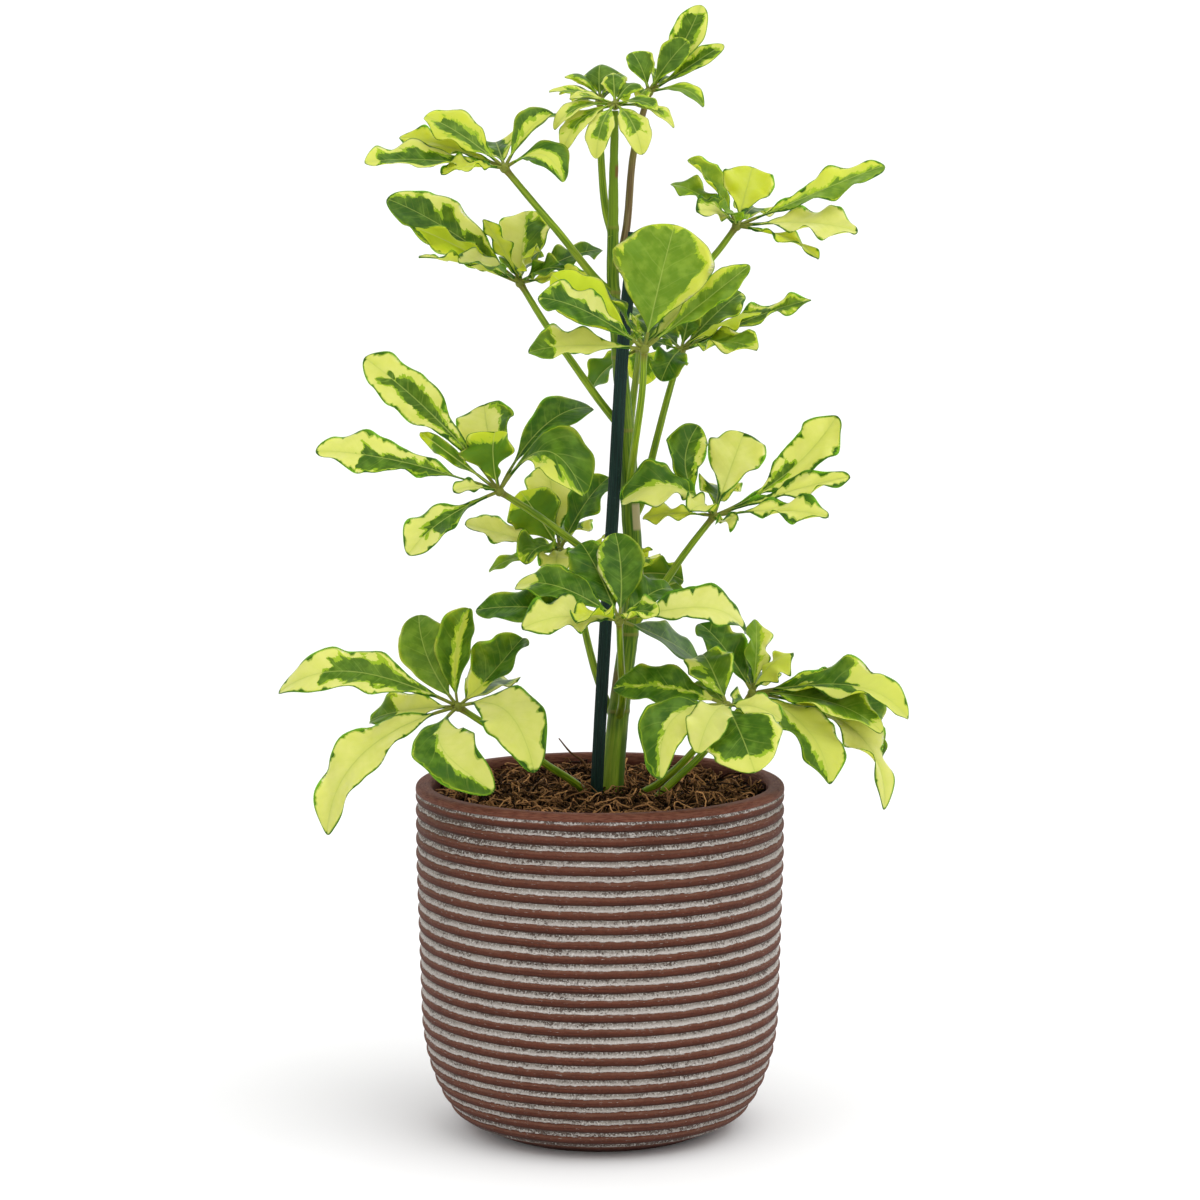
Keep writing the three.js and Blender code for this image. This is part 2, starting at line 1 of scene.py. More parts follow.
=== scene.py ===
"""A variegated umbrella plant on a staked stem, growing in soil in a round ribbed brown pot."""
import math
from types import SimpleNamespace
import bpy
import numpy as np
from mathutils import Matrix, Vector


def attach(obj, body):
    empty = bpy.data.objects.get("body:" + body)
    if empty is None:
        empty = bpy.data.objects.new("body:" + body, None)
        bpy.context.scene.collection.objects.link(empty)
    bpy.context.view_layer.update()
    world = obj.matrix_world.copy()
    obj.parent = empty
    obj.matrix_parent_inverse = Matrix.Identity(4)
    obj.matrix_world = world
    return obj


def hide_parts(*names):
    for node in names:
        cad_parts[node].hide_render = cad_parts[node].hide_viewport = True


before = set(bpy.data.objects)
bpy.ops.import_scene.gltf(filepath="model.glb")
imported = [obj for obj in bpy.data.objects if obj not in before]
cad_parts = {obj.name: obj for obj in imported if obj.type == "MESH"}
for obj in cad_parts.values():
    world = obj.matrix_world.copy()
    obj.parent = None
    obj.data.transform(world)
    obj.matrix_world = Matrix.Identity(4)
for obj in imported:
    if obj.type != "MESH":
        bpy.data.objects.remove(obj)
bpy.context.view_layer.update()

MM = 0.001

# The pot's sizes in millimetres: an upright ribbed wall over an elliptical foot.
POT_HEIGHT = 190
POT_RADIUS = 100
POT_WAIST_RADIUS = 97.6
POT_WAIST_HEIGHT = 69
POT_SHOULDER_HEIGHT = 150
POT_FOOT_RADIUS = 60
POT_WALL = 9
POT_FOOT_WALL = 14
POT_FLOOR = 9
LIP_START = 186.3
LIP_DROP = 4.5
LIP_ROUND = 2.5
RIB_COUNT = 23
RIB_PITCH = 7.8
RIB_TOP = 182.4
RIB_DEPTH = 2
# The heights between which the wall is ribbed.
RIBS_START = 0.3
RIBS_END = 185.7
# One rib from the groove above it (0) to the groove below it (1), and how far it lies in from the
# crest, as a share of the groove's depth: a round crest over a sharp undercut, then a slope outward.
RIB_SECTION = [
    (0.0, 0.68), (0.05, 0.58), (0.09, 0.46), (0.13, 0.33), (0.17, 0.21), (0.22, 0.11), (0.28, 0.04),
    (0.36, 0.0), (0.44, 0.01), (0.52, 0.06), (0.59, 0.15), (0.65, 0.3), (0.69, 0.5), (0.72, 0.74),
    (0.75, 0.95), (0.79, 1.0), (0.86, 0.92), (0.93, 0.8),
]
SOIL_LEVEL = 180
SOIL_BUMP = 1.6
# The gap between the soil and the pot, and the rings that the soil's top is divided into.
SOIL_GAP = 0.3
SOIL_RINGS = 70
# Above 1, the rings of the pot's inside and of the soil's side lie closer together near the floor.
RING_CROWDING = 1.7
# Crumbs and fibres are strewn within the first radius, and none of them reaches past the second.
BED_RADIUS = 85
BED_LIMIT = 90

# The stake and the main stem: centre lines and radii in millimetres.
STAKE_ROUTE = [
    (-5.5, -4, 70), (-2, -4, 181), (2.2, -4.5, 262), (7.2, -5, 343), (12.3, -6, 427), (18.3, -7, 487),
]
STAKE_RADIUS = 3.4
STEM_ROUTE = [
    (6, 8, 135), (6.5, 8, 181), (10.3, 8, 228), (15.6, 8, 270), (18.3, 7.5, 303), (16.7, 7, 333),
    (15, 6.5, 365), (11, 6, 413), (7, 5.5, 459), (7, 5, 489), (7.4, 3, 525), (8, 0, 551),
]
STEM_RADII = [5.6, 6.3, 6, 5.4, 5, 5, 4.9, 4.4, 3.6, 3.2, 2.5, 1.9]
# The heights of the stem's nodes, and how far each one swells outward and along the stem.
STEM_NODE_HEIGHTS = [228, 270, 303, 345, 381, 420, 455, 489]
STEM_NODE_SWELL = 0.45
STEM_NODE_REACH = 1.6
STALK_TIP_RADIUS = 1.7
STALK_ROOT_RADIUS = 2.3
# How much a stalk swells at its root and at its hub, and over what share of its length.
ROOT_SWELL, ROOT_SHARE = 0.9, 0.07
HUB_SWELL, HUB_SHARE = 0.5, 0.05
HUB_RADIUS = 2.7
LEAFLET_STALK_RADIUS = 0.95

# What the stem's bark shows, in millimetres above the floor: a dry sheath, a pale scar and a bud, and
# where its young green begins.
SHEATH_HEIGHT = 246
SCAR_HEIGHT = 334
BUD_HEIGHT = 519
YOUNG_BARK_FROM = 485

# The camera and the light, in metres and degrees. Each lamp has a place, a width and a power.
CAMERA_PLACE = (0, -2.0, 0.542)
CAMERA_TILT = 7.2
CAMERA_LENS = 112.1
CAMERA_SENSOR = 36
LAMPS = {"key": ((1.25, -1.1, 2.5), 3.6, 43), "fill": ((-1.7, -1.4, 1.6), 1.8, 5)}
LAMP_TARGET = (0, 0, 0.3)
SKY_LIGHT = 1.035

# The floor, in metres: flat from its front to the sweep, which curves up into a wall.
FLOOR_FRONT = -4.0
FLOOR_HALF_WIDTH = 6.0
SWEEP_START = 1.5
SWEEP_RADIUS = 1.5
WALL_HEIGHT = 3.0

# Two long fibres that stick out of the soil: girth in mm, how light each one is, and route in mm.
LOOSE_FIBRES = {
    "upright_fibre": (0.85, 0.45, [(-5, 60, 178), (-9, 55, 191), (-16.7, 50, 198), (-22.8, 47, 206)]),
    "lying_fibre": (0.75, 0.9, [
        (48, 50, 183), (47, 42, 186.5), (44, 10, 187), (40, -28, 186), (39, -34, 181),
    ]),
}

# How a leaflet is coloured. The green reaches from the midrib this far toward its left and its right
# margin (shares of the half width), leaving a light gap along the midrib, between a start and an end
# (shares of the length). Then come the dark rim's width in mm, how lime the light parts are, how pale
# the green is, and how ragged its edge is.
LOOKS = {
    "dark": (1.4, 1.4, 0, -0.2, 1.3, 0, 0.5, 0.0, 0.2),
    "greyed": (1.4, 1.4, 0, -0.2, 1.3, 0, 0.6, 0.9, 0.2),
    "pale_green": (1.4, 1.1, 0, -0.2, 1.2, 0.5, 0.8, 0.75, 0.4),
    "cream": (-0.4, -0.4, 0, 0.9, 0.1, 1.0, 0.25, 0.1, 0.2),
    "yellow": (-0.4, -0.4, 0, 0.9, 0.1, 0.4, 0.95, 0.6, 0.2),
    "centre": (0.6, 0.55, 0, -0.2, 0.86, 0.5, 0.5, 0.1, 0.25),
    "broad": (0.92, 0.66, 0, -0.2, 0.96, 0.3, 0.85, 0.8, 0.16),
    "inner_low": (0.9, 0.35, 0, -0.2, 0.56, 0.8, 0.65, 0.05, 0.25),
    "outer": (1.3, 1.2, 0, 0.3, 1.2, 0, 0.8, 0.05, 0.25),
    "tip": (1.3, 1.2, 0, 0.78, 1.3, 0.7, 0.4, 0.3, 0.25),
    "dark_left": (1.3, 0.5, 0, -0.2, 1.1, 0.7, 0.5, 0.05, 0.3),
    "dark_right": (-0.4, 1.4, 0.2, -0.2, 1.2, 0.9, 0.35, 0.05, 0.45),
    "greyed_left": (1.3, 0.3, 0, -0.2, 1.1, 0.4, 0.5, 0.85, 0.2),
    "low_green": (1.2, 0.46, 0, -0.2, 1.0, 0.7, 0.3, 0.05, 0.45),
    "edge_right": (-0.4, 1.4, 0.6, -0.2, 1.2, 0.9, 0.3, 0.1, 0.2),
    "streaked": (1.3, 1.3, 0.12, 0.1, 1.1, 0, 0.7, 0.05, 0.2),
    "streak": (0.4, 0.02, 0, 0.1, 0.52, 1.3, 0.35, 0.1, 0.2),
    "ringed": (1.4, 1.4, 0.46, -0.2, 1.3, 0, 0.75, 0.05, 0.35),
    "patchy": (0.55, 0.75, 0, -0.2, 1.05, 0.8, 0.55, 0.25, 0.5),
    "young": (0.44, 0.4, 0, -0.1, 0.74, 0.2, 0.5, 0.5, 0.35),
    "long_streak": (0.34, 0.36, 0, -0.2, 0.8, 1.1, 0.3, 0.15, 0.35),
    "long_patch": (0.55, 0.6, 0, 0.1, 0.72, 1.0, 0.25, 0.25, 0.3),
    "grey_centre": (0.78, 0.66, 0, -0.2, 0.88, 0.6, 0.6, 0.5, 0.2),
    "wide_centre": (0.8, 0.72, 0, -0.2, 0.8, 0.4, 0.5, 0.1, 0.2),
    "marbled": (1.3, 1.3, 0, 0.25, 0.9, 0.6, 0.85, 0.2, 0.7),
    "lime_rimmed": (-0.4, -0.4, 0, 0.9, 0.1, 0.8, 1.0, 0.6, 0.2),
    "lime_streak": (0.45, 0.42, 0, -0.2, 0.82, 0.5, 0.95, 0.35, 0.2),
    "pale_mostly": (0.5, 1.2, 0, -0.2, 1.1, 0.4, 0.9, 0.65, 0.2),
    "cream_blotched": (-0.4, -0.4, 0, 0.9, 0.1, 1.35, 0.35, 0.1, 0.2),
    "mostly_base": (1.3, 1.2, 0, -0.2, 0.8, 0.9, 0.6, 0.1, 0.25),
    "low_light": (1.4, 0.42, 0, -0.2, 1.3, 0.6, 0.7, 0.1, 0.5),
    "right_spot": (-0.4, 0.78, 0.14, 0.36, 0.86, 0.5, 0.2, 0.1, 0.3),
    "dome": (0.74, 0.72, 0, -0.2, 0.9, 0.15, 0.75, 0.3, 0.15),
    "thin_margin": (0.93, 0.9, 0, -0.2, 0.98, 0.15, 0.85, 0.25, 0.08),
    "far_end": (1.3, 1.2, 0, 0.62, 1.3, 0.6, 0.35, 0.3, 0.3),
    "lit_midrib": (1.4, 1.4, 0.3, -0.2, 1.3, 0, 0.85, 0.1, 0.2),
    "lower_patch": (0.8, 0.3, 0, -0.2, 0.72, 1.1, 0.3, 0.1, 0.35),
    "green_under": (1.0, 0.95, 0, -0.2, 0.82, 0.4, 0.9, 0.05, 0.25),
    "edge_left": (1.4, -0.4, 0.4, -0.2, 1.2, 0.9, 0.3, 0.1, 0.3),
    "left_streak": (0.76, 1.3, 0, -0.2, 1.1, 0.15, 0.3, 0.1, 0.25),
    "cream_banded": (-0.4, -0.4, 0, 0.9, 0.1, 1.8, 0.25, 0.1, 0.2),
    "pale_cream": (-0.4, -0.4, 0, 0.9, 0.1, 0.5, 0.3, 0.1, 0.2),
    "upper_lime": (0.15, 1.2, 0, -0.2, 1.1, 0.9, 0.9, 0.7, 0.35),
    "lime_edged": (-0.4, 1.4, 0.45, -0.2, 1.2, 1.1, 0.6, 0.2, 0.5),
    "sheen": (1.4, 1.4, 0, -0.2, 1.3, 0, 0.6, 0.42, 0.2),
}

# How much of a leaflet's bow lies near its tip, and its share of the leaf's wave and of its ruffle,
# where its row doesn't say.
USUAL_SWAY = (0.45, 1, 1)
# From one leaflet to the next the waves shift by this share of a turn. The noise of the green shifts by
# the first of these distances for each leaf, and by the second for each leaflet.
WAVE_SHIFT = 0.618
PATTERN_SHIFTS = (7.3, 2.9)

# Every leaf, in millimetres: its hub, the way its umbrella faces, how wavy and how ruffled its margins
# are, where along their length its blades are widest, and its stalk's route down from the hub.
# A leaflet's row gives its tip from the hub, its width, how far its midrib bows upward and to its
# right, its roll and how far its halves fold up in degrees, and its look. Some rows add how much of the
# bow lies near the tip, and how much of the leaf's wave and of its ruffle the leaflet has.
LEAVES = {
    "leaf_lower_left": {
        "hub": (-75, -45, 238), "faces": (-0.15, -0.7, 0.7), "wave": 2.5, "ruffle": 0.9, "widest": 0.56,
        "stalk": [(-52, -34, 221), (-30, -22, 204), (-7, 4, 181), (-4, 9, 160)],
        "leaflets": [
            (-94, -10, 9, 28, 20, 2, 0, 12, "long_patch", (0.8, 1.1, 0.8)),
            (-68, -25, -64, 28, 19, 8, 0, 14, "cream", (0.7, 1.5, 1)),
            (-48, 22, -11, 22, 4, 0, 0, 20, "far_end"),
            (-22, 30, 45, 28, 5, -5, 0, 10, "sheen", (0.4, 0.6, 0.5)),
            (5, 20, 50, 27, 3, -3.5, 0, 40, "lit_midrib", (0.4, 0.7, 0.4)),
            (34, 12, 35, 33, 4, 5, -10, 30, "outer"),
            (41, -42, -28, 32, 16, -10, 0, 10, "cream_blotched", (0.5, 0.8, 1)),
            (20, -48, -37, 33, 13, 17, 0, 12, "dark_right", (0.5, 0.7, 1.2)),
            (26, 50, 6, 26, 5, 0, 0, 15, "centre"),
        ],
    },
    "leaf_lower_front": {
        "hub": (66, -80, 244), "faces": (-0.1, -0.72, 0.69), "wave": 2.2, "ruffle": 1.0, "widest": 0.56,
        "stalk": [(48, -52, 214), (32, -26, 194), (18, -6, 180), (14, 0, 162)],
        "leaflets": [
            (-59, 15, 7, 25, 3, 4, 0, 10, "streaked"),
            (-35, -28, -34, 28, 14, 11, 0, 16, "dark_right"),
            (-16, -37, -19, 24, 10, 0, 0, 10, "pale_cream"),
            (13, -42, -28, 41, 6, 0, 0, 6, "wide_centre", (0.5, 0.7, 0.8)),
            (28, -12, -6, 16, 6, 0, 0, 12, "pale_cream"),
            (-12, 26, 9, 19, 2, 0, 0, 20, "pale_green"),
            (-12, 27, 23, 26, 6, 0, 0, 16, "patchy"),
            (18, 38, -12, 24, 4, 0, 0, 14, "centre"),
        ],
    },
    "leaf_lower_right": {
        "hub": (82, -10, 240), "faces": (0.2, -0.5, 0.84), "wave": 2.8, "ruffle": 1.5, "widest": 0.58,
        "stalk": [(68, -10, 222), (54, -12, 206), (28, -14, 180), (22, -14, 164)],
        "leaflets": [
            (-28, 20, 35, 27, 4, 0, 0, 14, "dark"),
            (-12, 40, 22, 18, 3, 0, 30, 10, "dark"),
            (2, 15, 38, 17, 2, 0, 20, 16, "greyed_left"),
            (22, -2, 22, 25, -4, 0, 155, 14, "cream"),
            (83, -12, -12, 32, 15, 0, 0, 20, "inner_low", (0.8, 1.2, 1)),
            (68, -28, -17, 28, 9, 0, 0, 14, "grey_centre", (0.6, 1, 0.7)),
            (40, -38, -43, 30, 12, -2, 0, 12, "lime_edged", (0.5, 1.2, 1)),
            (70, -20, -60, 22, 20, -9, 0, 14, "cream", (0.7, 1.6, 1.3)),
            (70, 14, -40, 26, 27, 0, 0, 14, "dark"),
            (66, 32, -12, 22, 8, 0, 0, 20, "patchy"),
            (6, 46, 4, 24, 4, 0, 0, 14, "centre"),
        ],
    },
    "leaf_middle_left": {
        "hub": (-53, -40, 352), "faces": (-0.3, -0.62, 0.72), "wave": 2.6, "ruffle": 1.6, "widest": 0.7,
        "stalk": [(-34, -22, 338), (-12, 2, 319), (4, 8, 305), (14, 8, 297)],
        "leaflets": [
            (-72, 24, 69, 26, 0, 4, 0, 10, "long_streak", (0.4, 1.5, 1.2)),
            (-96, -8, 22, 27, 4, 2, 0, 12, "lower_patch", (0.5, 1.3, 1)),
            (-47, -24, -31, 27, 6, 0, 0, 12, "lower_patch", (0.5, 0.6, 0.3)),
            (-9, 38, 43, 32, 3, 0, 0, 10, "edge_right"),
            (-2, 4, 31, 36, -3, 0, 165, -24, "green_under", (0.4, 1.5, 1.6)),
            (48, 32, 42, 25, 12, -3, 10, 12, "dark", (0.4, 0.5, 0.2)),
            (45, -14, -1, 38, 18, -14, 0, 12, "low_light", (0.5, 0.6, 0.5)),
            (-42, 14, 30, 9, -3, 0, 160, 10, "green_under", (0.4, 1.6, 1.4)),
            (-24, -11, 1, 12, 3, 0, 0, 16, "cream", (0.4, 0.6, 0.6)),
        ],
    },
    "leaf_centre_front": {
        "hub": (10, -75, 288), "faces": (0, -0.6, 0.8), "wave": 2.4, "ruffle": 1.6, "widest": 0.58,
        "stalk": [(11, -50, 263), (12, -22, 240), (11, 1, 228), (10, 6, 224)],
        "leaflets": [
            (-20, 30, 37, 28, 4, 0, 0, 8, "dark"),
            (-2, 24, 43, 25, 3, 2, 0, 10, "left_streak", (0.4, 0.5, 0.4)),
            (-75, 18, 3, 26, 5, 0, 0, 8, "dark", (0.4, 0.6, 0.4)),
            (-54, 14, 16, 26, 10, 0, 0, 14, "mostly_base"),
            (-50, -26, -1, 28, 6, 0, 0, 12, "cream_blotched", (0.6, 1.2, 1)),
            (-22, -40, 4, 20, 4, 0, 20, 24, "lime_rimmed"),
            (20, -25, 6, 18, 4, 0, 0, 16, "centre"),
            (66, 6, -7, 28, 14, 0, 0, 16, "cream_banded", (0.9, 1.1, 1)),
            (46, 46, -33, 32, 4, 0, 0, 8, "dark", (0.4, 0.4, 0.2)),
            (28, 26, 13, 24, 6, 0, 0, 14, "dark"),
        ],
    },
    "leaf_centre_back": {
        "hub": (-22, 45, 311), "faces": (-0.1, -0.45, 0.89), "wave": 2.6, "ruffle": 1.8, "widest": 0.64,
        "stalk": [(-14, 38, 300), (-8, 28, 268), (-1, 18, 243), (8, 10, 222)],
        "leaflets": [
            (-52, -10, 16, 26, 0, 0, 0, 12, "cream"),
            (-22, 8, 32, 32, -3, 0, 160, 8, "green_under", (0.4, 1, 0.8)),
            (-7, 30, 45, 29, 2, 0, 0, 10, "cream"),
            (27, 6, 40, 26, 4, 0, 0, 14, "dark"),
            (28, -5, 12, 19, 3, 0, 150, 12, "yellow"),
            (-19, -22, -5, 24, 7, 0, 0, 26, "marbled"),
            (-39, -6, -11, 11, 4, 0, 0, 8, "greyed", (0.4, 0.5, 0.5)),
            (-2, -29, -11, 20, 5, 0, 0, 12, "cream"),
            (8, 42, 10, 28, 4, 0, 0, 12, "centre"),
        ],
    },
    "leaf_middle_right": {
        "hub": (61, -10, 336), "faces": (0.1, -0.62, 0.78), "wave": 3, "ruffle": 1.9, "widest": 0.7,
        "stalk": [(46, -6, 316), (31, 0, 293), (20, 6, 277), (16, 8, 272)],
        "leaflets": [
            (-8, 20, 47, 22, 3, -12, 0, 12, "dark_left"),
            (17, 30, 42, 32, 2, 0, 0, 8, "cream"),
            (66, 8, 53, 27, -2, 7, 0, 10, "streak"),
            (72, -12, 22, 17, 2, 0, 0, 18, "cream_blotched"),
            (60, -24, 2, 19, 4, 0, 0, 18, "cream_blotched"),
            (-50, -14, 9, 32, 16, 0, 0, 16, "dark_right"),
            (-14, -28, 5, 18, 5, 0, 0, 24, "cream_blotched"),
            (11, -22, 4, 11, 4, 0, 140, 16, "cream_blotched"),
            (-38, 6, -2, 14, 3, 0, 0, 14, "yellow"),
            (4, 40, 12, 26, 4, 0, 0, 12, "centre"),
        ],
    },
    "leaf_upper_right": {
        "hub": (73, 5, 490), "faces": (0.2, -0.5, 0.84), "wave": 2.4, "ruffle": 1.9, "widest": 0.66,
        "stalk": [(60, 6, 473), (38, 9, 452), (16, 8, 428), (10, 6, 420)],
        "leaflets": [
            (79, 4, 32, 23, 3, 3, 0, 10, "upper_lime", (0.4, 1, 0.8)),
            (64, -10, -3, 29, 4, 0, 0, 10, "cream"),
            (43, -16, -17, 14, 4, 0, -15, 8, "lime_rimmed"),
            (9, 20, 31, 27, 2, 0, 0, 6, "lime_rimmed", (0.4, 1, 1.8)),
            (-26, 12, 35, 17, 2, 2, 0, 40, "pale_mostly"),
            (-35, 8, 22, 18, 4, 0, 0, 14, "pale_green"),
            (-22, -12, 8, 22, 4, 0, 0, 14, "edge_right"),
            (-6, -20, 7, 18, 3, 0, 0, 20, "pale_green"),
            (12, 34, 8, 24, 4, 0, 0, 12, "centre"),
        ],
    },
    "leaf_upper_front": {
        "hub": (23, -60, 428), "faces": (-0.05, -0.62, 0.78), "wave": 2.2, "ruffle": 1.6, "widest": 0.64,
        "stalk": [(22, -48, 405), (18, -24, 372), (16, -2, 350), (16, 6, 345)],
        "leaflets": [
            (16, 14, 64, 52, 2, 0, 0, 4, "broad"),
            (55, 14, 43, 17, 0, 0, 20, 18, "pale_mostly"),
            (36, 40, 34, 22, 2, 0, 0, 10, "cream"),
            (-55, -6, 27, 27, 6, 0, 0, 14, "low_green"),
            (-48, 12, 38, 26, -4, 0, 150, 12, "yellow"),
            (-60, -12, -1, 24, 4, 0, 0, 16, "tip"),
            (-28, 22, 35, 16, 3, 0, 60, 10, "dark"),
            (6, 40, 14, 24, 4, 0, 0, 12, "centre"),
        ],
    },
    "leaf_upper_back_right": {
        "hub": (44, 30, 422), "faces": (0.15, -0.5, 0.85), "wave": 2.8, "ruffle": 2.0, "widest": 0.62,
        "stalk": [(37, 26, 398), (29, 18, 368), (22, 11, 340), (17, 8, 331)],
        "leaflets": [
            (43, -14, 21, 24, -4, 0, 155, 10, "yellow"),
            (71, 10, 27, 14, 3, 0, 0, 14, "patchy"),
            (34, 28, 30, 21, 3, 0, 0, 14, "patchy"),
            (40, -30, 2, 26, 5, 0, 0, 12, "grey_centre"),
            (6, 12, 24, 15, 2, 0, 0, 14, "dark"),
            (-11, -24, -15, 21, 6, 0, 0, 14, "dark"),
            (-24, -8, 4, 14, 3, 0, 0, 16, "dark"),
            (24, 40, 0, 25, 5, 0, 0, 12, "centre"),
            (-16, 32, 8, 22, 4, 0, 0, 12, "dark"),
        ],
    },
    "leaf_high_left": {
        "hub": (-50, -25, 521), "faces": (-0.15, -0.5, 0.85), "wave": 2.4, "ruffle": 1.6, "widest": 0.62,
        "stalk": [(-36, -18, 504), (-21, -11, 486), (-3, 0, 463), (5, 5, 455)],
        "leaflets": [
            (-73, -10, 3, 25, 3, 0, 0, 16, "centre"),
            (-42, 6, 27, 27, 3, 0, 0, 12, "lime_streak", (0.4, 0.8, 0.8)),
            (-56, 17, 16, 18, 3, 0, 0, 14, "lime_rimmed"),
            (-33, -14, -3, 15, 3, 0, 0, 18, "lime_rimmed"),
            (27, 23, 27, 21, 7, 0, 0, 30, "ringed", (0.5, 0.3, 0.2)),
            (31, -12, -7, 25, 10, -5, 0, 12, "ringed", (0.6, 0.3, 0.2)),
            (-6, 36, 13, 23, 4, 0, 0, 12, "centre"),
        ],
    },
    "leaf_upper_left": {
        "hub": (-43, 20, 459), "faces": (-0.2, -0.58, 0.79), "wave": 2.8, "ruffle": 1.8, "widest": 0.6,
        "stalk": [(-30, 18, 438), (-18, 15, 421), (0, 10, 396), (12, 7, 381)],
        "leaflets": [
            (-72, 8, 45, 34, 3, 2, 0, 12, "low_green", (0.4, 0.6, 0.6)),
            (-56, -12, 30, 14, -3, 0, 160, 12, "lime_rimmed"),
            (-53, -34, 15, 12, 3, 0, 30, 14, "cream"),
            (-32, -30, 12, 23, 4, 0, 0, 16, "edge_left", (0.4, 0.8, 0.7)),
            (-20, 6, 34, 11, 2, 0, 20, 14, "lime_rimmed"),
            (3, 22, 38, 30, 2, 0, 0, 8, "right_spot", (0.4, 0.8, 0.8)),
            (9, -12, 20, 22, -3, 0, 150, 10, "yellow"),
            (24, -14, 8, 16, 4, 0, 0, 16, "dark"),
            (44, 20, 17, 18, 4, 0, 0, 12, "dark"),
            (40, -6, 2, 14, 3, 0, 0, 16, "yellow"),
            (2, 42, 10, 25, 4, 0, 0, 12, "dark"),
        ],
    },
    "leaf_crown_front": {
        "hub": (8, -3, 554), "faces": (-0.05, -0.4, 0.92), "wave": 0.5, "ruffle": 0.2, "widest": 0.62,
        "stalk": [],
        "leaflets": [
            (-35, 0, 7, 10, 3, 0, 0, 12, "young"),
            (-24, -10, 3, 9, 3, 0, 0, 14, "young"),
            (-24, 5, 0, 7, 4, 0, 0, 12, "young"),
            (-32, -17, -13, 13, 7, 0, 0, 14, "young"),
            (-27, -20, -24, 16, 8, 0, 0, 10, "young"),
            (-10, -27, -28, 15, 8, 0, 0, 10, "young"),
            (14, -26, -26, 17, 8, 0, 0, 10, "young"),
            (31, -9, -12, 11, 6, 0, 0, 12, "young"),
            (-1, 12, 17, 13, 3, 0, 0, -16, "dome"),
            (13, 9, 11, 15, 4, 0, 0, -10, "dome"),
            (22, -16, -3, 12, 4, 0, 0, 14, "dome"),
        ],
    },
    "leaf_crown_back": {
        "hub": (0, 22, 556), "faces": (-0.1, 0, 1), "wave": 0.5, "ruffle": 0.2, "widest": 0.62,
        "stalk": [(0.5, 17, 528), (3, 11, 499), (7, 5, 484)],
        "leaflets": [
            (2, 21, 18, 30, 8, 0, 0, -30, "dome", (0.8, 0.2, 0.1)),
            (-19, -3, 13, 19, 6, 0, 0, -26, "dome", (0.8, 0.2, 0.1)),
            (-22, 15, 4, 16, 6, 0, 0, -24, "dome", (0.8, 0.2, 0.1)),
            (14, 15, 13, 19, 6, 0, 0, -24, "dome", (0.8, 0.2, 0.1)),
            (14, 26, 0, 14, 6, 0, 0, 12, "dome"),
            (-12, 28, -2, 14, 6, 0, 0, 12, "dome"),
        ],
    },
    "leaf_crown_right": {
        "hub": (26, 12, 561), "faces": (0.2, -0.55, 0.81), "wave": 0.6, "ruffle": 0.4, "widest": 0.66,
        "stalk": [(18, 13, 529), (14, 11, 488), (9, 6, 466)],
        "leaflets": [
            (28, 6, 46, 19, 1, 3, 0, 8, "centre", (0.4, 0.5, 0)),
            (40, 4, 25, 14, 2, 2, 0, 10, "centre", (0.4, 0.5, 0)),
            (21, -6, 27, 19, 2, 0, 0, 10, "thin_margin", (0.4, 0.4, 0)),
            (-9, 2, 21, 20, 2, 0, 0, 12, "thin_margin", (0.4, 0.4, 0)),
            (29, -10, -8, 13, 7, 0, 0, 12, "pale_mostly", (0.7, 0.5, 0.5)),
            (-6, -11, -4, 10, 3, 0, 0, 14, "young"),
            (10, 26, 8, 15, 4, 0, 0, 12, "centre"),
        ],
    },
    "leaf_back_upper": {
        "hub": (22, 75, 420), "faces": (0.05, 0.5, 0.86), "wave": 2.2, "ruffle": 1.2, "widest": 0.62,
        "stalk": [(20, 55, 408), (17, 30, 387), (15, 12, 371), (14.5, 6, 366)],
        "leaflets": [
            (-27, -4, -23, 26, 5, 0, 0, 12, "dark"),
            (-26, 32, 14, 26, 6, 0, 0, 12, "centre"),
            (0, 46, 20, 25, 6, 0, 0, 12, "dark"),
            (30, 38, 6, 25, 6, 0, 0, 12, "centre"),
            (28, 4, 27, 23, 5, 0, 0, 12, "dark"),
            (2, 30, -22, 24, 7, 0, 0, 12, "centre"),
        ],
    },
    "leaf_back_lower": {
        "hub": (15, 62, 296), "faces": (0.1, 0.45, 0.89), "wave": 2.4, "ruffle": 1.5, "widest": 0.6,
        "stalk": [(15, 44, 286), (15, 24, 270), (14.5, 10, 257), (14, 7, 253)],
        "leaflets": [
            (31, -10, -2, 20, 4, 0, -30, 12, "dark"),
            (14, -2, 14, 12, 3, 0, 0, 24, "yellow"),
            (-32, 14, -6, 27, 6, 0, 0, 12, "centre"),
            (-28, 36, 4, 24, 7, 0, 0, 12, "dark"),
            (9, 48, -3, 25, 7, 0, 0, 12, "centre"),
            (30, 30, -24, 25, 7, 0, 0, 12, "dark"),
        ],
    },
}


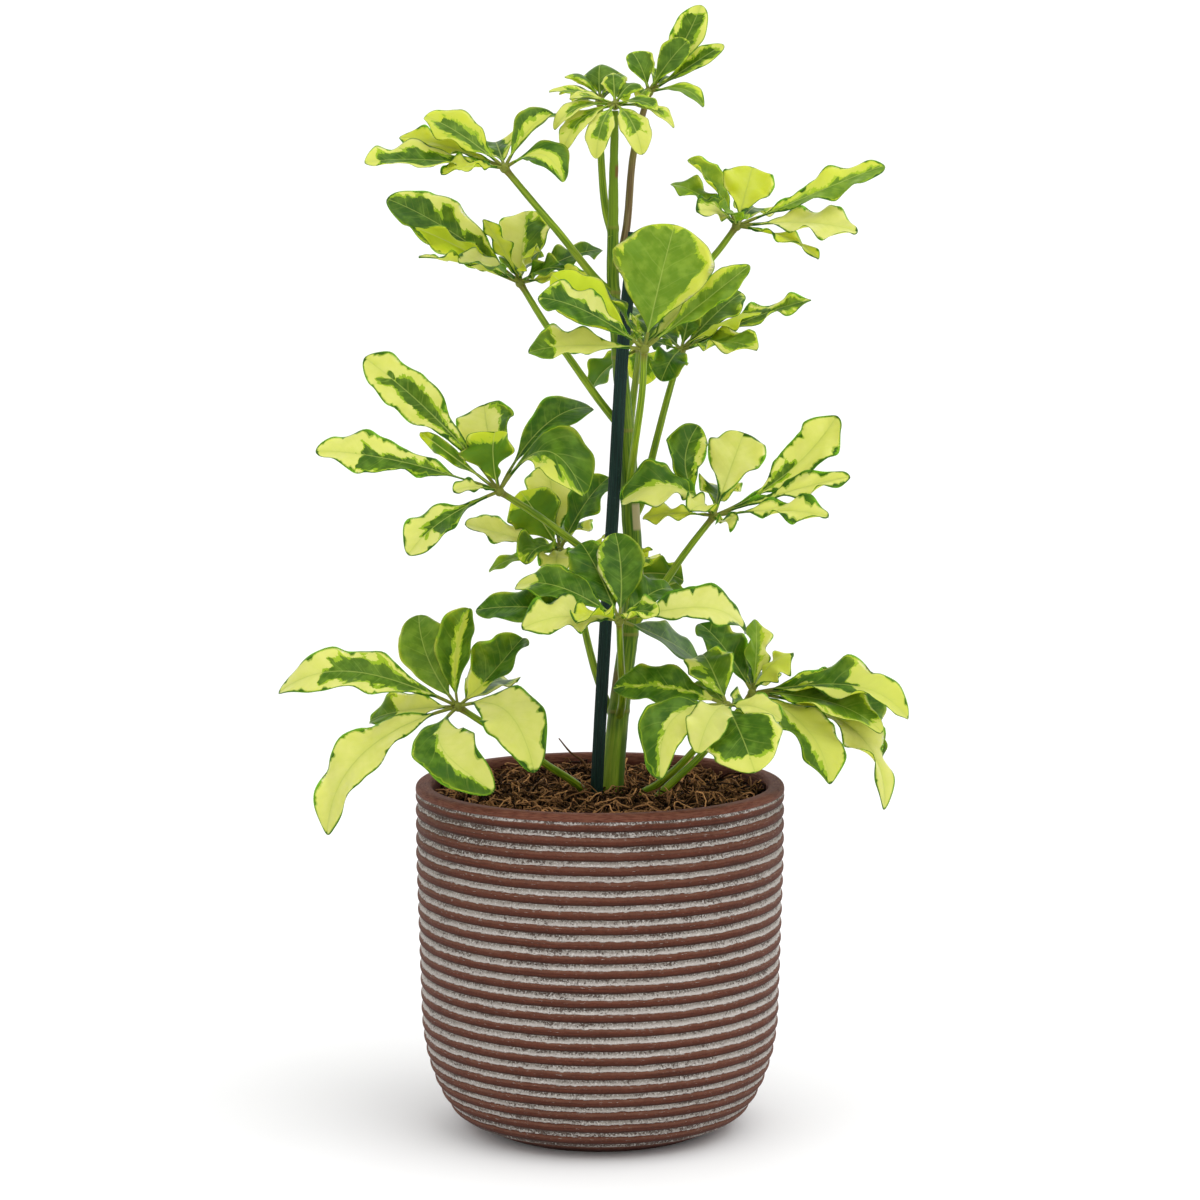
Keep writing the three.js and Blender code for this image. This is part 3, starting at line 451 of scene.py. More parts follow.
class Term:
    """A number or a direction in a node tree. Arithmetic on it adds the nodes that work it out."""

    def __init__(self, tree, socket):
        self.tree = tree
        self.socket = socket
        self.is_vector = socket.type in ("VECTOR", "RGBA")

    def number(self, operation, *others):
        node = self.tree.nodes.new("ShaderNodeMath")
        node.operation = operation
        for socket, value in zip(node.inputs, (self,) + others):
            feed(self.tree, socket, value)
        return Term(self.tree, node.outputs[0])

    def direction(self, operation, *others):
        node = self.tree.nodes.new("ShaderNodeVectorMath")
        node.operation = operation
        sockets = [node.inputs[0], node.inputs[3]] if operation == "SCALE" else node.inputs
        for socket, value in zip(sockets, (self,) + others):
            feed(self.tree, socket, value)
        gives_number = operation in ("DOT_PRODUCT", "LENGTH", "DISTANCE")
        return Term(self.tree, node.outputs["Value" if gives_number else "Vector"])

    def __add__(self, other):
        return self.direction("ADD", other) if self.is_vector else self.number("ADD", other)

    def __sub__(self, other):
        return self.direction("SUBTRACT", other) if self.is_vector else self.number("SUBTRACT", other)

    def __mul__(self, other):
        if self.is_vector:
            return self.direction("SCALE", other)
        if isinstance(other, Term) and other.is_vector:
            return other.direction("SCALE", self)
        return self.number("MULTIPLY", other)

    def __truediv__(self, other):
        return self.number("DIVIDE", other)

    def __pow__(self, other):
        return self.number("POWER", other)

    def __rsub__(self, other):
        return self.number("MULTIPLY", -1.0).number("ADD", other)

    __radd__ = __add__
    __rmul__ = __mul__

    def eased(self, low, high):
        """Rises smoothly from 0 at low to 1 at high."""
        node = self.tree.nodes.new("ShaderNodeMapRange")
        node.interpolation_type = "SMOOTHSTEP"
        for socket, value in zip(node.inputs, (self, low, high)):
            feed(self.tree, socket, value)
        return Term(self.tree, node.outputs[0])

    def within(self, start, full, fading, gone):
        """Rises from 0 at start to 1 at full, and falls from fading to 0 again at gone."""
        return self.eased(start, full) * (1.0 - self.eased(fading, gone))

    def parts(self):
        node = self.tree.nodes.new("ShaderNodeSeparateXYZ")
        self.tree.links.new(self.socket, node.inputs[0])
        return [Term(self.tree, output) for output in node.outputs]

    def wave(self):
        """The sine of this many whole turns."""
        return (self * math.tau).number("SINE")


def feed(tree, socket, value):
    """Links a term to a socket, or sets a plain value on it."""
    if isinstance(value, Term):
        tree.links.new(value.socket, socket)
    else:
        socket.default_value = value


def add_node(tree, kind, values=None, **settings):
    """Adds one node with its settings, and feeds its inputs by name."""
    node = tree.nodes.new(kind)
    for setting, choice in settings.items():
        setattr(node, setting, choice)
    for name, value in (values or {}).items():
        feed(tree, node.inputs[name], value)
    return node


def joined(tree, x, y, z):
    """A direction or a place made of three numbers."""
    node = tree.nodes.new("ShaderNodeCombineXYZ")
    for socket, value in zip(node.inputs, (x, y, z)):
        feed(tree, socket, value)
    return Term(tree, node.outputs[0])


def mixed(first, second, share):
    """The first value where share is 0, the second where it is 1."""
    return first + (second - first) * share


def cloud(place, scale, detail=2.0, roughness=0.5):
    """Soft noise between 0 and 1."""
    values = {"Vector": place, "Scale": scale, "Detail": detail, "Roughness": roughness}
    return Term(place.tree, add_node(place.tree, "ShaderNodeTexNoise", values).outputs[0])


def knocks(place, scale, detail=2.0):
    """Soft noise in each of the three directions, between 0 and 1."""
    values = {"Vector": place, "Scale": scale, "Detail": detail}
    return Term(place.tree, add_node(place.tree, "ShaderNodeTexNoise", values).outputs["Color"])


def new_object(name, data):
    """An object that is part of the scene."""
    piece = bpy.data.objects.new(name, data)
    bpy.context.scene.collection.objects.link(piece)
    return piece


# Geometry trees

NUMBER = "NodeSocketFloat"
COUNT = "NodeSocketInt"
DIRECTION = "NodeSocketVector"
MERGE_DISTANCE = 0.00001
FULL_TURN = 6.28


def start_tree(name, inputs):
    """A geometry tree with named inputs, and the terms that its inputs give."""
    tree = bpy.data.node_groups.new(name, "GeometryNodeTree")
    tree.interface.new_socket("Geometry", in_out="INPUT", socket_type="NodeSocketGeometry")
    for label, kind, value in inputs:
        socket = tree.interface.new_socket(label, in_out="INPUT", socket_type=kind)
        socket.default_value = value
    tree.interface.new_socket("Material", in_out="INPUT", socket_type="NodeSocketMaterial")
    tree.interface.new_socket("Geometry", in_out="OUTPUT", socket_type="NodeSocketGeometry")
    outputs = tree.nodes.new("NodeGroupInput").outputs
    return tree, {socket.name: Term(tree, socket) for socket in outputs if socket.name}


def end_tree(geometry, given):
    """Turns what a tree has grown into one smooth mesh with its material."""
    geometry = step("GeometryNodeRealizeInstances", geometry)
    geometry = step("GeometryNodeSetShadeSmooth", geometry)
    geometry = step("GeometryNodeSetMaterial", geometry, {"Material": given["Material"]})
    tree = geometry.tree
    tree.links.new(geometry.socket, tree.nodes.new("NodeGroupOutput").inputs[0])
    return tree


def step(kind, geometry, values=None, **settings):
    """One step that the geometry goes through."""
    tree = geometry.tree
    node = add_node(tree, kind, values, **settings)
    tree.links.new(geometry.socket, node.inputs[0])
    return Term(tree, node.outputs[0])


def source(tree, kind, values=None, **settings):
    """What one node gives."""
    return Term(tree, add_node(tree, kind, values, **settings).outputs[0])


def marked(geometry, name, value):
    """Keeps a value on every point, under a name that later steps and materials read."""
    kind = "FLOAT_VECTOR" if value.is_vector else "FLOAT"
    values = {"Name": name, "Value": value}
    return step("GeometryNodeStoreNamedAttribute", geometry, values, data_type=kind)


def mark(tree, name, kind="FLOAT"):
    """A value that every point carries under this name."""
    return source(tree, "GeometryNodeInputNamedAttribute", {"Name": name}, data_type=kind)


def position(tree):
    """Where each point is."""
    return source(tree, "GeometryNodeInputPosition")


def moved(geometry, place):
    """The geometry with each point moved to its new place."""
    return step("GeometryNodeSetPosition", geometry, {"Position": place})


def start_mesh(name, points, marks=None, line=False):
    """Loose points, or one line through them, with the marks that a tree reads."""
    mesh = bpy.data.meshes.new(name)
    edges = [(i, i + 1) for i in range(len(points) - 1)] if line else []
    mesh.from_pydata([tuple(float(c) for c in point) for point in points], edges, [])
    for label, values in (marks or {}).items():
        flat = np.array(values, dtype=np.float32)
        is_vector = flat.ndim == 2
        kind = "FLOAT_VECTOR" if is_vector else "FLOAT"
        layer = mesh.attributes.new(label, kind, "POINT")
        layer.data.foreach_set("vector" if is_vector else "value", flat.ravel())
    return mesh


def grown(name, tree, mesh, material, values=None):
    """Runs a tree on a mesh and keeps the result as a plain mesh."""
    piece = new_object(name, mesh)
    modifier = piece.modifiers.new("growth", "NODES")
    modifier.node_group = tree
    wanted = dict(values or {}, Material=material)
    for item in tree.interface.items_tree:
        if item.in_out == "INPUT" and item.name in wanted:
            modifier[item.identifier] = wanted[item.name]
    shaped = piece.evaluated_get(bpy.context.evaluated_depsgraph_get())
    plain = bpy.data.meshes.new_from_object(shaped)
    piece.modifiers.clear()
    piece.data = plain
    plain.name = name
    bpy.data.meshes.remove(mesh)
    return piece


def leaflet_sheets(tree, given):
    """A sheet for each leaflet. Its points carry their row along the leaflet and their turn round it."""
    sheet = source(tree, "GeometryNodeMeshGrid", {
        "Size X": 1.0, "Size Y": 1.0, "Vertices X": given["Rows"], "Vertices Y": given["Columns"],
    })
    x, y, _ = position(tree).parts()
    sheet = marked(sheet, "row", x + 0.5)
    sheet = marked(sheet, "turn", y + 0.5)
    blades = step("GeometryNodeInstanceOnPoints", given["Geometry"], {"Instance": sheet})
    return step("GeometryNodeRealizeInstances", blades)


def leaflet_places(tree):
    """Where on its leaflet each point of a sheet lies, and the leaflet's own marks."""
    at = SimpleNamespace()
    # The rows along the leaflet: its short stalk first, then the blade, closer together at the tip.
    at.row = mark(tree, "row")
    stalk_rows = 0.08
    after = ((at.row - stalk_rows) / (1 - stalk_rows)).number("MAXIMUM", 0.0)
    at.blade = 1.0 - (1.0 - after) ** 1.8
    at.on_stalk = (at.row / stalk_rows).number("MINIMUM", 1.0)
    first_share, blade_share = 0.01, 0.12
    at.share = first_share + at.on_stalk * (blade_share - first_share) + at.blade * (1 - blade_share)

    # Once round the section: over the top from the right margin to the left, and back underneath.
    turn = mark(tree, "turn")
    even = (turn * 4.0 - 2.0).number("ABSOLUTE") - 1.0
    at.side = even.number("SIGN")
    at.aside = even.number("ABSOLUTE") ** 1.25
    at.across = at.side * at.aside
    at.upper = (0.5 - turn).number("SIGN")

    at.reach = mark(tree, "reach", "FLOAT_VECTOR")
    at.bend = mark(tree, "bend", "FLOAT_VECTOR")
    at.right = mark(tree, "right", "FLOAT_VECTOR")
    at.half_width, at.fold, at.phase = mark(tree, "build", "FLOAT_VECTOR").parts()
    at.droop, at.wave, at.ruffle = mark(tree, "sway", "FLOAT_VECTOR").parts()
    at.length = at.reach.direction("LENGTH")
    return at


def midrib_curve(at):
    """The midrib's curve from the hub to the tip, and the directions across the blade and over it."""
    share, rest = at.share, 1.0 - at.share
    upright = at.right.direction("CROSS_PRODUCT", at.reach).direction("NORMALIZE")
    centre = at.bend * (share * rest * 2.0) + at.reach * (share * share)
    centre = centre + upright * (at.droop * (share - share ** 5.0) * 1.87)
    tangent = at.bend * rest + (at.reach - at.bend) * share
    tangent = tangent + upright * (at.droop * (1.0 - share ** 4.0 * 5.0) * 0.93)
    over = at.right.direction("CROSS_PRODUCT", tangent).direction("NORMALIZE")
    across = tangent.direction("CROSS_PRODUCT", over).direction("NORMALIZE")
    return centre, across, over


def leaflet_width(at, given, uneven):
    """Half the leaflet's width at each row, and its stalk's radius. The blade is blunt past its widest."""
    power = given["Widest At"].number("LOGARITHM", math.e) ** -1.0 * math.log(0.5)
    bluntness = 0.85 - at.blade.number("GREATER_THAN", given["Widest At"]) * 0.3
    outline = ((at.blade ** power) * math.pi).number("SINE").number("MAXIMUM", 0.0) ** bluntness
    scallop = 1.0 + (at.blade * 3.1 + at.phase * 2.0 + at.side * 0.23).wave() * 0.04
    scallop = scallop + uneven * (at.ruffle * 0.25 + 0.14)
    stalk_radius = given["Stalk Radius"] * (at.row * 60.0).number("MINIMUM", 1.0) * (1.0 - at.blade)
    half = (outline * scallop * at.half_width).number("MAXIMUM", stalk_radius)
    return half, stalk_radius


def margin_lift(at, given, uneven):
    """The margins' large waves, and their small ruffles, which are lower on short leaflets."""
    growth = ((at.blade ** 1.4) * math.pi).number("SINE").number("MAXIMUM", 0.0) ** 0.6
    big_wave = (at.blade * 2.6 + at.phase + at.across * 0.3).wave() * given["Wave Height"] * at.wave
    ruffles = at.length / given["Ruffle Length"]
    small_wave = (at.blade * ruffles + at.phase * 1.7 + at.across * 0.4 + uneven * 1.2).wave()
    size_share = (at.length / given["Full Length"]).number("MINIMUM", 1.0)
    small_wave = small_wave * given["Ruffle Height"] * at.ruffle * size_share
    return growth * (at.aside ** 1.4 * big_wave + at.aside ** 3.2 * small_wave)


def leaflet_depth(at, given, aside_mm, stalk_radius):
    """Half the thickness: round on the stalk, then a thin blade with a ridge under its midrib."""
    roundness = (1.0 - at.aside * at.aside).number("MAXIMUM", 0.0) ** 0.5
    plumpness = (1.0 - at.aside ** 8.0).number("MAXIMUM", 0.0) ** 0.5
    underneath = at.upper.number("LESS_THAN", 0.0)
    ridge = (aside_mm * aside_mm * -1.6).number("EXPONENT") * (1.0 - at.blade * 0.6)
    rib = ridge * given["Midrib Height"] * (underneath * 1.15 - 0.15)
    thin = plumpness * given["Blade Thickness"] * 0.5 + rib
    return mixed(stalk_radius * roundness, thin, at.blade.eased(0.0, 0.1))


def leaflet_tree():
    """Leaflets round a hub: each input point is one leaflet, grown as a closed, waved blade."""
    tree, given = start_tree("leaflets", [
        ("Hub", DIRECTION, (0, 0, 0)),
        ("Hub Radius", NUMBER, HUB_RADIUS * MM),
        ("Widest At", NUMBER, 0.6),
        ("Wave Height", NUMBER, 0.0025),
        ("Ruffle Height", NUMBER, 0.0009),
        ("Ruffle Length", NUMBER, 0.021),
        ("Full Length", NUMBER, 0.065),
        ("Blade Thickness", NUMBER, 0.0005),
        ("Midrib Height", NUMBER, 0.0006),
        ("Stalk Radius", NUMBER, LEAFLET_STALK_RADIUS * MM),
        ("Rows", COUNT, 56),
        ("Columns", COUNT, 33),
    ])
    at = leaflet_places(tree)
    centre, across, over = midrib_curve(at)
    uneven = cloud(joined(tree, at.blade * 4.5, at.side * 1.7, at.phase * 7.0), 1.0, 1.0) - 0.5
    half, stalk_radius = leaflet_width(at, given, uneven)
    aside_mm = half * at.aside / MM
    folded = half * at.aside ** 1.5 * at.fold.number("SINE")
    depth = leaflet_depth(at, given, aside_mm, stalk_radius)
    sideways = across * (at.across * half * at.fold.number("COSINE"))
    upward = over * (folded + margin_lift(at, given, uneven) + at.upper * depth)

    blades = leaflet_sheets(tree, given)
    blades = marked(blades, "blade", joined(tree, at.blade - (1.0 - at.on_stalk), at.across, at.upper))
    blades = marked(blades, "spread", joined(tree, aside_mm, at.length * at.share / MM, half / MM))
    blades = moved(blades, given["Hub"] + centre + sideways + upward)
    blades = step("GeometryNodeMergeByDistance", blades, {"Distance": MERGE_DISTANCE})

    ball = source(tree, "GeometryNodeMeshIcoSphere", {"Radius": given["Hub Radius"], "Subdivisions": 3})
    ball = moved(ball, position(tree) + given["Hub"])
    ball = marked(ball, "blade", joined(tree, -1.0, 0.0, 1.0))
    both = tree.nodes.new("GeometryNodeJoinGeometry")
    tree.links.new(ball.socket, both.inputs[0])
    tree.links.new(blades.socket, both.inputs[0])
    return end_tree(Term(tree, both.outputs[0]), given)


def rod_tree():
    """A rod along a line of points, which carry its girth; it may have fine ridges along it."""
    tree, given = start_tree("rod", [
        ("Sides", COUNT, 16),
        ("Ridges", NUMBER, 0.0),
        ("Ridge Depth", NUMBER, 0.0),
        ("Unevenness", NUMBER, 0.0001),
    ])
    ring = source(tree, "GeometryNodeCurvePrimitiveCircle", {
        "Resolution": given["Sides"], "Radius": 1.0,
    })
    ring = marked(ring, "ring", position(tree))
    line = step("GeometryNodeMeshToCurve", given["Geometry"])
    line = marked(line, "middle", position(tree))
    length = Term(tree, tree.nodes.new("GeometryNodeSplineParameter").outputs["Length"])
    line = marked(line, "length", length)
    body = step("GeometryNodeCurveToMesh", line, {
        "Profile Curve": ring, "Scale": mark(tree, "girth"), "Fill Caps": True,
    })
    ring_x, ring_y, _ = mark(tree, "ring", "FLOAT_VECTOR").parts()
    angle = ring_y.number("ARCTAN2", ring_x)
    furrow = (0.5 - (angle * given["Ridges"]).number("COSINE") * 0.5) * given["Ridge Depth"]
    place = position(tree)
    outward = (place - mark(tree, "middle", "FLOAT_VECTOR")).direction("NORMALIZE")
    uneven = (cloud(place, 140.0) - 0.5) * given["Unevenness"] * 2.0
    outward_x, outward_y, _ = outward.parts()
    body = marked(body, "grain", joined(tree, outward_x, outward_y, mark(tree, "length") / MM))
    body = moved(body, place + outward * (uneven - furrow))
    return end_tree(body, given)


def turned(tree, given):
    """The input line, turned once round the upright axis into a closed skin."""
    outline = given["Geometry"]
    count = Term(tree, step("GeometryNodeAttributeDomainSize", outline).socket)
    skin = source(tree, "GeometryNodeMeshGrid", {
        "Size X": 1.0, "Size Y": 1.0, "Vertices X": given["Sides"], "Vertices Y": count,
    })
    x, y, _ = position(tree).parts()
    ring = ((y + 0.5) * (count - 1.0)).number("ROUND")

    def sampled(value, kind):
        wanted = {"Geometry": outline, "Value": value, "Index": ring}
        return source(tree, "GeometryNodeSampleIndex", wanted, data_type=kind)

    radius, _, height = sampled(position(tree), "FLOAT_VECTOR").parts()
    face = sampled(mark(tree, "face"), "FLOAT")
    angle = (x + 0.5) * math.tau
    skin = marked(skin, "face", face)
    ring_x, ring_y = radius * angle.number("COSINE"), radius * angle.number("SINE")
    skin = moved(skin, joined(tree, ring_x, ring_y, height))
    return step("GeometryNodeMergeByDistance", skin, {"Distance": MERGE_DISTANCE})


def pot_tree():
    """The pot, turned from its outline, with the slight unevenness of a hand-finished wall."""
    tree, given = start_tree("pot", [
        ("Sides", COUNT, 145),
        ("Unevenness", NUMBER, 0.00015),
    ])
    skin = turned(tree, given)
    place = position(tree)
    x, y, _ = place.parts()
    outward = joined(tree, x, y, 0.0).direction("NORMALIZE")
    face = mark(tree, "face")
    uneven = (cloud(place, 60.0, 3.0) - 0.5) * given["Unevenness"] * 2.0
    skin = moved(skin, place + outward * (uneven * face))
    return end_tree(skin, given)


def soil_tree():
    """The soil, turned from its outline, with a lumpy, crumbly top."""
    tree, given = start_tree("soil", [
        ("Sides", COUNT, 181),
        ("Lump Height", NUMBER, SOIL_BUMP * MM),
        ("Crumb Height", NUMBER, 0.0026),
    ])
    skin = turned(tree, given)
    place = position(tree)
    x, y, _ = place.parts()
    lumps = (x * 190.0 + 1.0).number("SINE") * (y * 190.0).number("COSINE")
    fine = ((x + y) * 310.0).number("SINE") * 0.6
    crumbs = (cloud(place, 420.0, 4.0, 0.65) - 0.5) * given["Crumb Height"] * 2.0
    rise = (lumps + fine) * given["Lump Height"] + crumbs
    skin = moved(skin, place + joined(tree, 0.0, 0.0, rise * mark(tree, "face")))
    return end_tree(skin, given)


def random_term(tree, low, high, seed):
    """A random number or direction for every point."""
    vector = isinstance(low, tuple)
    node = tree.nodes.new("FunctionNodeRandomValue")
    node.data_type = "FLOAT_VECTOR" if vector else "FLOAT"
    sockets = [socket for socket in node.inputs if socket.enabled]
    feed(tree, sockets[0], low)
    feed(tree, sockets[1], high)
    feed(tree, node.inputs["Seed"], seed)
    outputs = [socket for socket in node.outputs if socket.enabled]
    return Term(tree, outputs[0])


def strewn(tree, given):
    """Points strewn over the top of the soil."""
    x, y, _ = position(tree).parts()
    radius = (x * x + y * y) ** 0.5
    on_top = mark(tree, "face").number("GREATER_THAN", 0.5)
    inside = on_top * radius.number("LESS_THAN", given["Bed Radius"])
    return step("GeometryNodeDistributePointsOnFaces", given["Geometry"], {
        "Selection": inside, "Density": given["Per Square Metre"], "Seed": given["Seed"],
    })


def kept_inside(geometry, limit):
    """Draws whatever lies beyond a radius in to it."""
    x, y, z = position(geometry.tree).parts()
    squeeze = (limit / ((x * x + y * y) ** 0.5 + 0.000001)).number("MINIMUM", 1.0)
    return moved(geometry, joined(geometry.tree, x * squeeze, y * squeeze, z))


def crumb_tree():
    """Bark crumbs strewn over the soil, each one knocked out of round."""
    tree, given = start_tree("bark crumbs", [
        ("Bed Radius", NUMBER, BED_RADIUS * MM),
        ("Bed Limit", NUMBER, BED_LIMIT * MM),
        ("Per Square Metre", NUMBER, 16000.0),
        ("Smallest", NUMBER, 0.0009),
        ("Largest", NUMBER, 0.0042),
        ("Knock", NUMBER, 0.0012),
        ("Seed", COUNT, 4),
    ])
    points = marked(strewn(tree, given), "tone", random_term(tree, 0.0, 1.0, 14))
    crumb = source(tree, "GeometryNodeMeshIcoSphere", {"Radius": 1.0, "Subdivisions": 1})
    size = mixed(given["Smallest"], given["Largest"], random_term(tree, 0.0, 1.0, 11) ** 3.0)
    shape = random_term(tree, (0.6, 0.5, 0.35), (1.5, 1.0, 0.8), 12)
    crumbs = step("GeometryNodeInstanceOnPoints", points, {
        "Instance": crumb, "Scale": shape * size,
        "Rotation": random_term(tree, (0.0, 0.0, 0.0), (FULL_TURN, FULL_TURN, FULL_TURN), 13),
    })
    crumbs = step("GeometryNodeRealizeInstances", crumbs)
    place = position(tree)
    crumbs = moved(crumbs, place + (knocks(place, 900.0) - (0.5, 0.5, 0.5)) * given["Knock"])
    crumbs = kept_inside(crumbs, given["Bed Limit"])
    return end_tree(crumbs, given)


def fibre_tree():
    """Curly coir fibres strewn over the soil."""
    tree, given = start_tree("coir fibres", [
        ("Bed Radius", NUMBER, BED_RADIUS * MM),
        ("Bed Limit", NUMBER, BED_LIMIT * MM),
        ("Per Square Metre", NUMBER, 58000.0),
        ("Shortest", NUMBER, 0.012),
        ("Longest", NUMBER, 0.036),
        ("Girth", NUMBER, 0.00046),
        ("Curl", NUMBER, 0.003),
        ("Seed", COUNT, 7),
    ])
    points = marked(strewn(tree, given), "tone", random_term(tree, 0.0, 1.0, 24))
    bends = 16
    strand = source(tree, "GeometryNodeMeshLine", {
        "Count": bends + 1, "Start Location": (-0.5, 0.0, 0.0), "Offset": (1 / bends, 0.0, 0.0),
    })
    along, _, _ = position(tree).parts()
    loops = joined(tree, along + (along * 2.1).wave() * 0.12, (along * 1.3).wave() * 0.2,
                   (along * 0.95 + 0.2).wave() * 0.15)
    strand = moved(strand, loops)
    length = mixed(given["Shortest"], given["Longest"], random_term(tree, 0.0, 1.0, 21) ** 2.0)
    fibres = step("GeometryNodeInstanceOnPoints", points, {
        "Instance": strand, "Scale": length,
        "Rotation": random_term(tree, (-1.3, -0.24, 0.0), (1.3, 0.24, FULL_TURN), 22),
    })
    fibres = step("GeometryNodeRealizeInstances", fibres)
    place = position(tree)
    curls = knocks(place, 160.0, 0.0) - (0.5, 0.5, 0.2)
    fibres = moved(fibres, place + curls * (given["Curl"] * 2.0))
    fibres = kept_inside(fibres, given["Bed Limit"])
    fibres = step("GeometryNodeMeshToCurve", fibres)
    ring = source(tree, "GeometryNodeCurvePrimitiveCircle", {"Resolution": 3, "Radius": 1.0})
    fibres = step("GeometryNodeCurveToMesh", fibres, {
        "Profile Curve": ring, "Scale": given["Girth"], "Fill Caps": True,
    })
    return end_tree(fibres, given)


# Finishes

# A colour looks this much brighter in the studio's light than the share of light it gives back.
STUDIO_GAIN = 1.46
# How far apart a leaflet's side veins lie along its midrib, and its bolder ones, in millimetres.
VEIN_PITCH = 4.6
BOLD_VEIN_PITCH = 10.5


def paint(colour):
    """A colour as it looks in the studio, 0 to 255, turned into the share of light it gives back."""
    shares = [channel / 255 for channel in colour]
    linear = [s / 12.92 if s <= 0.04045 else ((s + 0.055) / 1.055) ** 2.4 for s in shares]
    return tuple(share / STUDIO_GAIN for share in linear) + (1.0,)


def coloured(share, first, second):
    """The first colour where share is 0, the second where it is 1."""
    node = share.tree.nodes.new("ShaderNodeMix")
    node.data_type = "RGBA"
    feed(share.tree, node.inputs[0], share)
    for socket, colour in ((node.inputs[6], first), (node.inputs[7], second)):
        feed(share.tree, socket, colour if isinstance(colour, Term) else paint(colour))
    return Term(share.tree, node.outputs[2])


def layered(colour, *layers):
    """Lays one colour after another over the first, each over the share that it covers."""
    for share, shade in layers:
        colour = coloured(share, colour, shade)
    return colour


def new_finish(name):
    """A material, its node tree, its surface shader and the place on the object."""
    material = bpy.data.materials.new(name)
    material.use_nodes = True
    tree = material.node_tree
    place = Term(tree, tree.nodes.new("ShaderNodeTexCoord").outputs["Object"])
    return material, tree, tree.nodes["Principled BSDF"], place


def read_mark(tree, name):
    """A mark that a piece's points carry, as its material reads it."""
    node = tree.nodes.new("ShaderNodeAttribute")
    node.attribute_name = name
    return Term(tree, node.outputs["Vector"])


def surfaced(shader, colour, roughness, specular):
    """Gives a shader its colour and gloss. A plain number goes on the shader's own socket."""
    feed(colour.tree, shader.inputs["Base Color"], colour)
    feed(colour.tree, shader.inputs["Roughness"], roughness)
    feed(colour.tree, shader.inputs["Specular IOR Level"], specular)


def relief(shader, height, distance, strength):
    """Fine relief: height 0 to 1 stands for this many metres."""
    values = {"Height": height, "Distance": distance, "Strength": strength}
    bump = add_node(height.tree, "ShaderNodeBump", values)
    height.tree.links.new(bump.outputs[0], shader.inputs["Normal"])


def leaf_marks(tree):
    """What a blade's points carry, in millimetres and shares, and the noises in its pattern."""
    leaf = SimpleNamespace()
    leaf.blade, across, leaf.upper = read_mark(tree, "blade").parts()
    leaf.aside, leaf.length, leaf.half = read_mark(tree, "spread").parts()
    leaf.left, leaf.right, leaf.gap = read_mark(tree, "greens").parts()
    leaf.begins, leaf.ends, leaf.rim = read_mark(tree, "span").parts()
    leaf.lime, leaf.paleness, leaf.rag = read_mark(tree, "tones").parts()
    seed, leaf.whole, _ = read_mark(tree, "lot").parts()
    leaf.out = across.number("ABSOLUTE")
    leaf.on_right = across.number("GREATER_THAN", 0.0)
    leaf.side = leaf.on_right * 9.0 + seed
    leaf.midrib = 1.0 - (leaf.aside - 0.36 + leaf.blade * 0.2).eased(-0.12, 0.2)
    # Veins leave the midrib towards the tip, so this is the same all along one side vein.
    leaf.vein = leaf.length - leaf.aside * 0.8
    leaf.broad = cloud(joined(tree, leaf.vein * 0.12, leaf.side, leaf.aside * 0.1), 1.0, 1.0) - 0.5
    leaf.chunks = cloud(joined(tree, leaf.vein * 0.34, leaf.side, leaf.aside * 0.3), 1.0, 1.0) - 0.5
    leaf.teeth = cloud(joined(tree, leaf.vein * 1.1, leaf.side, leaf.aside * 0.8), 1.0, 2.0, 0.6) - 0.5
    leaf.spots = cloud(joined(tree, leaf.aside * 0.16, leaf.length * 0.16, leaf.side), 1.0, 3.0) - 0.5
    leaf.flecks = cloud(joined(tree, leaf.aside * 0.7, leaf.length * 0.7, leaf.side), 1.0, 2.0)
    leaf.edging = cloud(joined(tree, leaf.length * 0.16, leaf.side, 7.0), 1.0, 2.0, 0.5)
    return leaf


def green_shares(leaf):
    """How dark green and how mid green a blade's points are, from how far they lie inside the green."""
    ragged = leaf.broad * leaf.rag
    sideways = (mixed(leaf.left, leaf.right, leaf.on_right) + ragged * 3.0 - leaf.out) * leaf.half
    no_gap = leaf.gap.number("LESS_THAN", 0.01)
    inwards = (leaf.out - leaf.gap - leaf.broad * 0.4) * leaf.half + no_gap * 50.0
    from_start = (leaf.blade - leaf.begins + ragged) * leaf.whole
    from_end = (leaf.ends - leaf.blade + ragged) * leaf.whole
    inside = sideways
    for reach in (inwards, from_start, from_end):
        inside = inside.number("MINIMUM", reach)
    inside = inside + leaf.chunks * 5.0 + leaf.teeth * 2.4
    return inside.eased(-0.1, 0.25), (inside + leaf.spots * 6.0).eased(-1.5, -1.2)


def rim_shares(leaf):
    """The dark rim along a blade's margin, and the softer band on its inner side."""
    margin = ((1.0 - leaf.out) * leaf.half).number("MINIMUM", (1.0 - leaf.blade) * leaf.whole * 1.2)
    width = leaf.rim * (leaf.edging.eased(0.48, 0.75) * 2.3 + 0.72 + leaf.teeth * 0.4)
    rim = (1.0 - margin.eased(width - 0.12, width + 0.12)) * leaf.rim.eased(0.0, 0.2)
    band = (1.0 - margin.eased(width * 1.2, width * 1.4 + 0.5)) * leaf.rim.eased(0.0, 0.4)
    return rim, band


def vein_lines(leaf, place, pitch, low, high):
    """Thin lines, one in each pitch, that fade from the midrib to the margin."""
    return ((place / pitch).number("FRACT") - 0.5).number("ABSOLUTE").eased(low, high) * (1.0 - leaf.out)


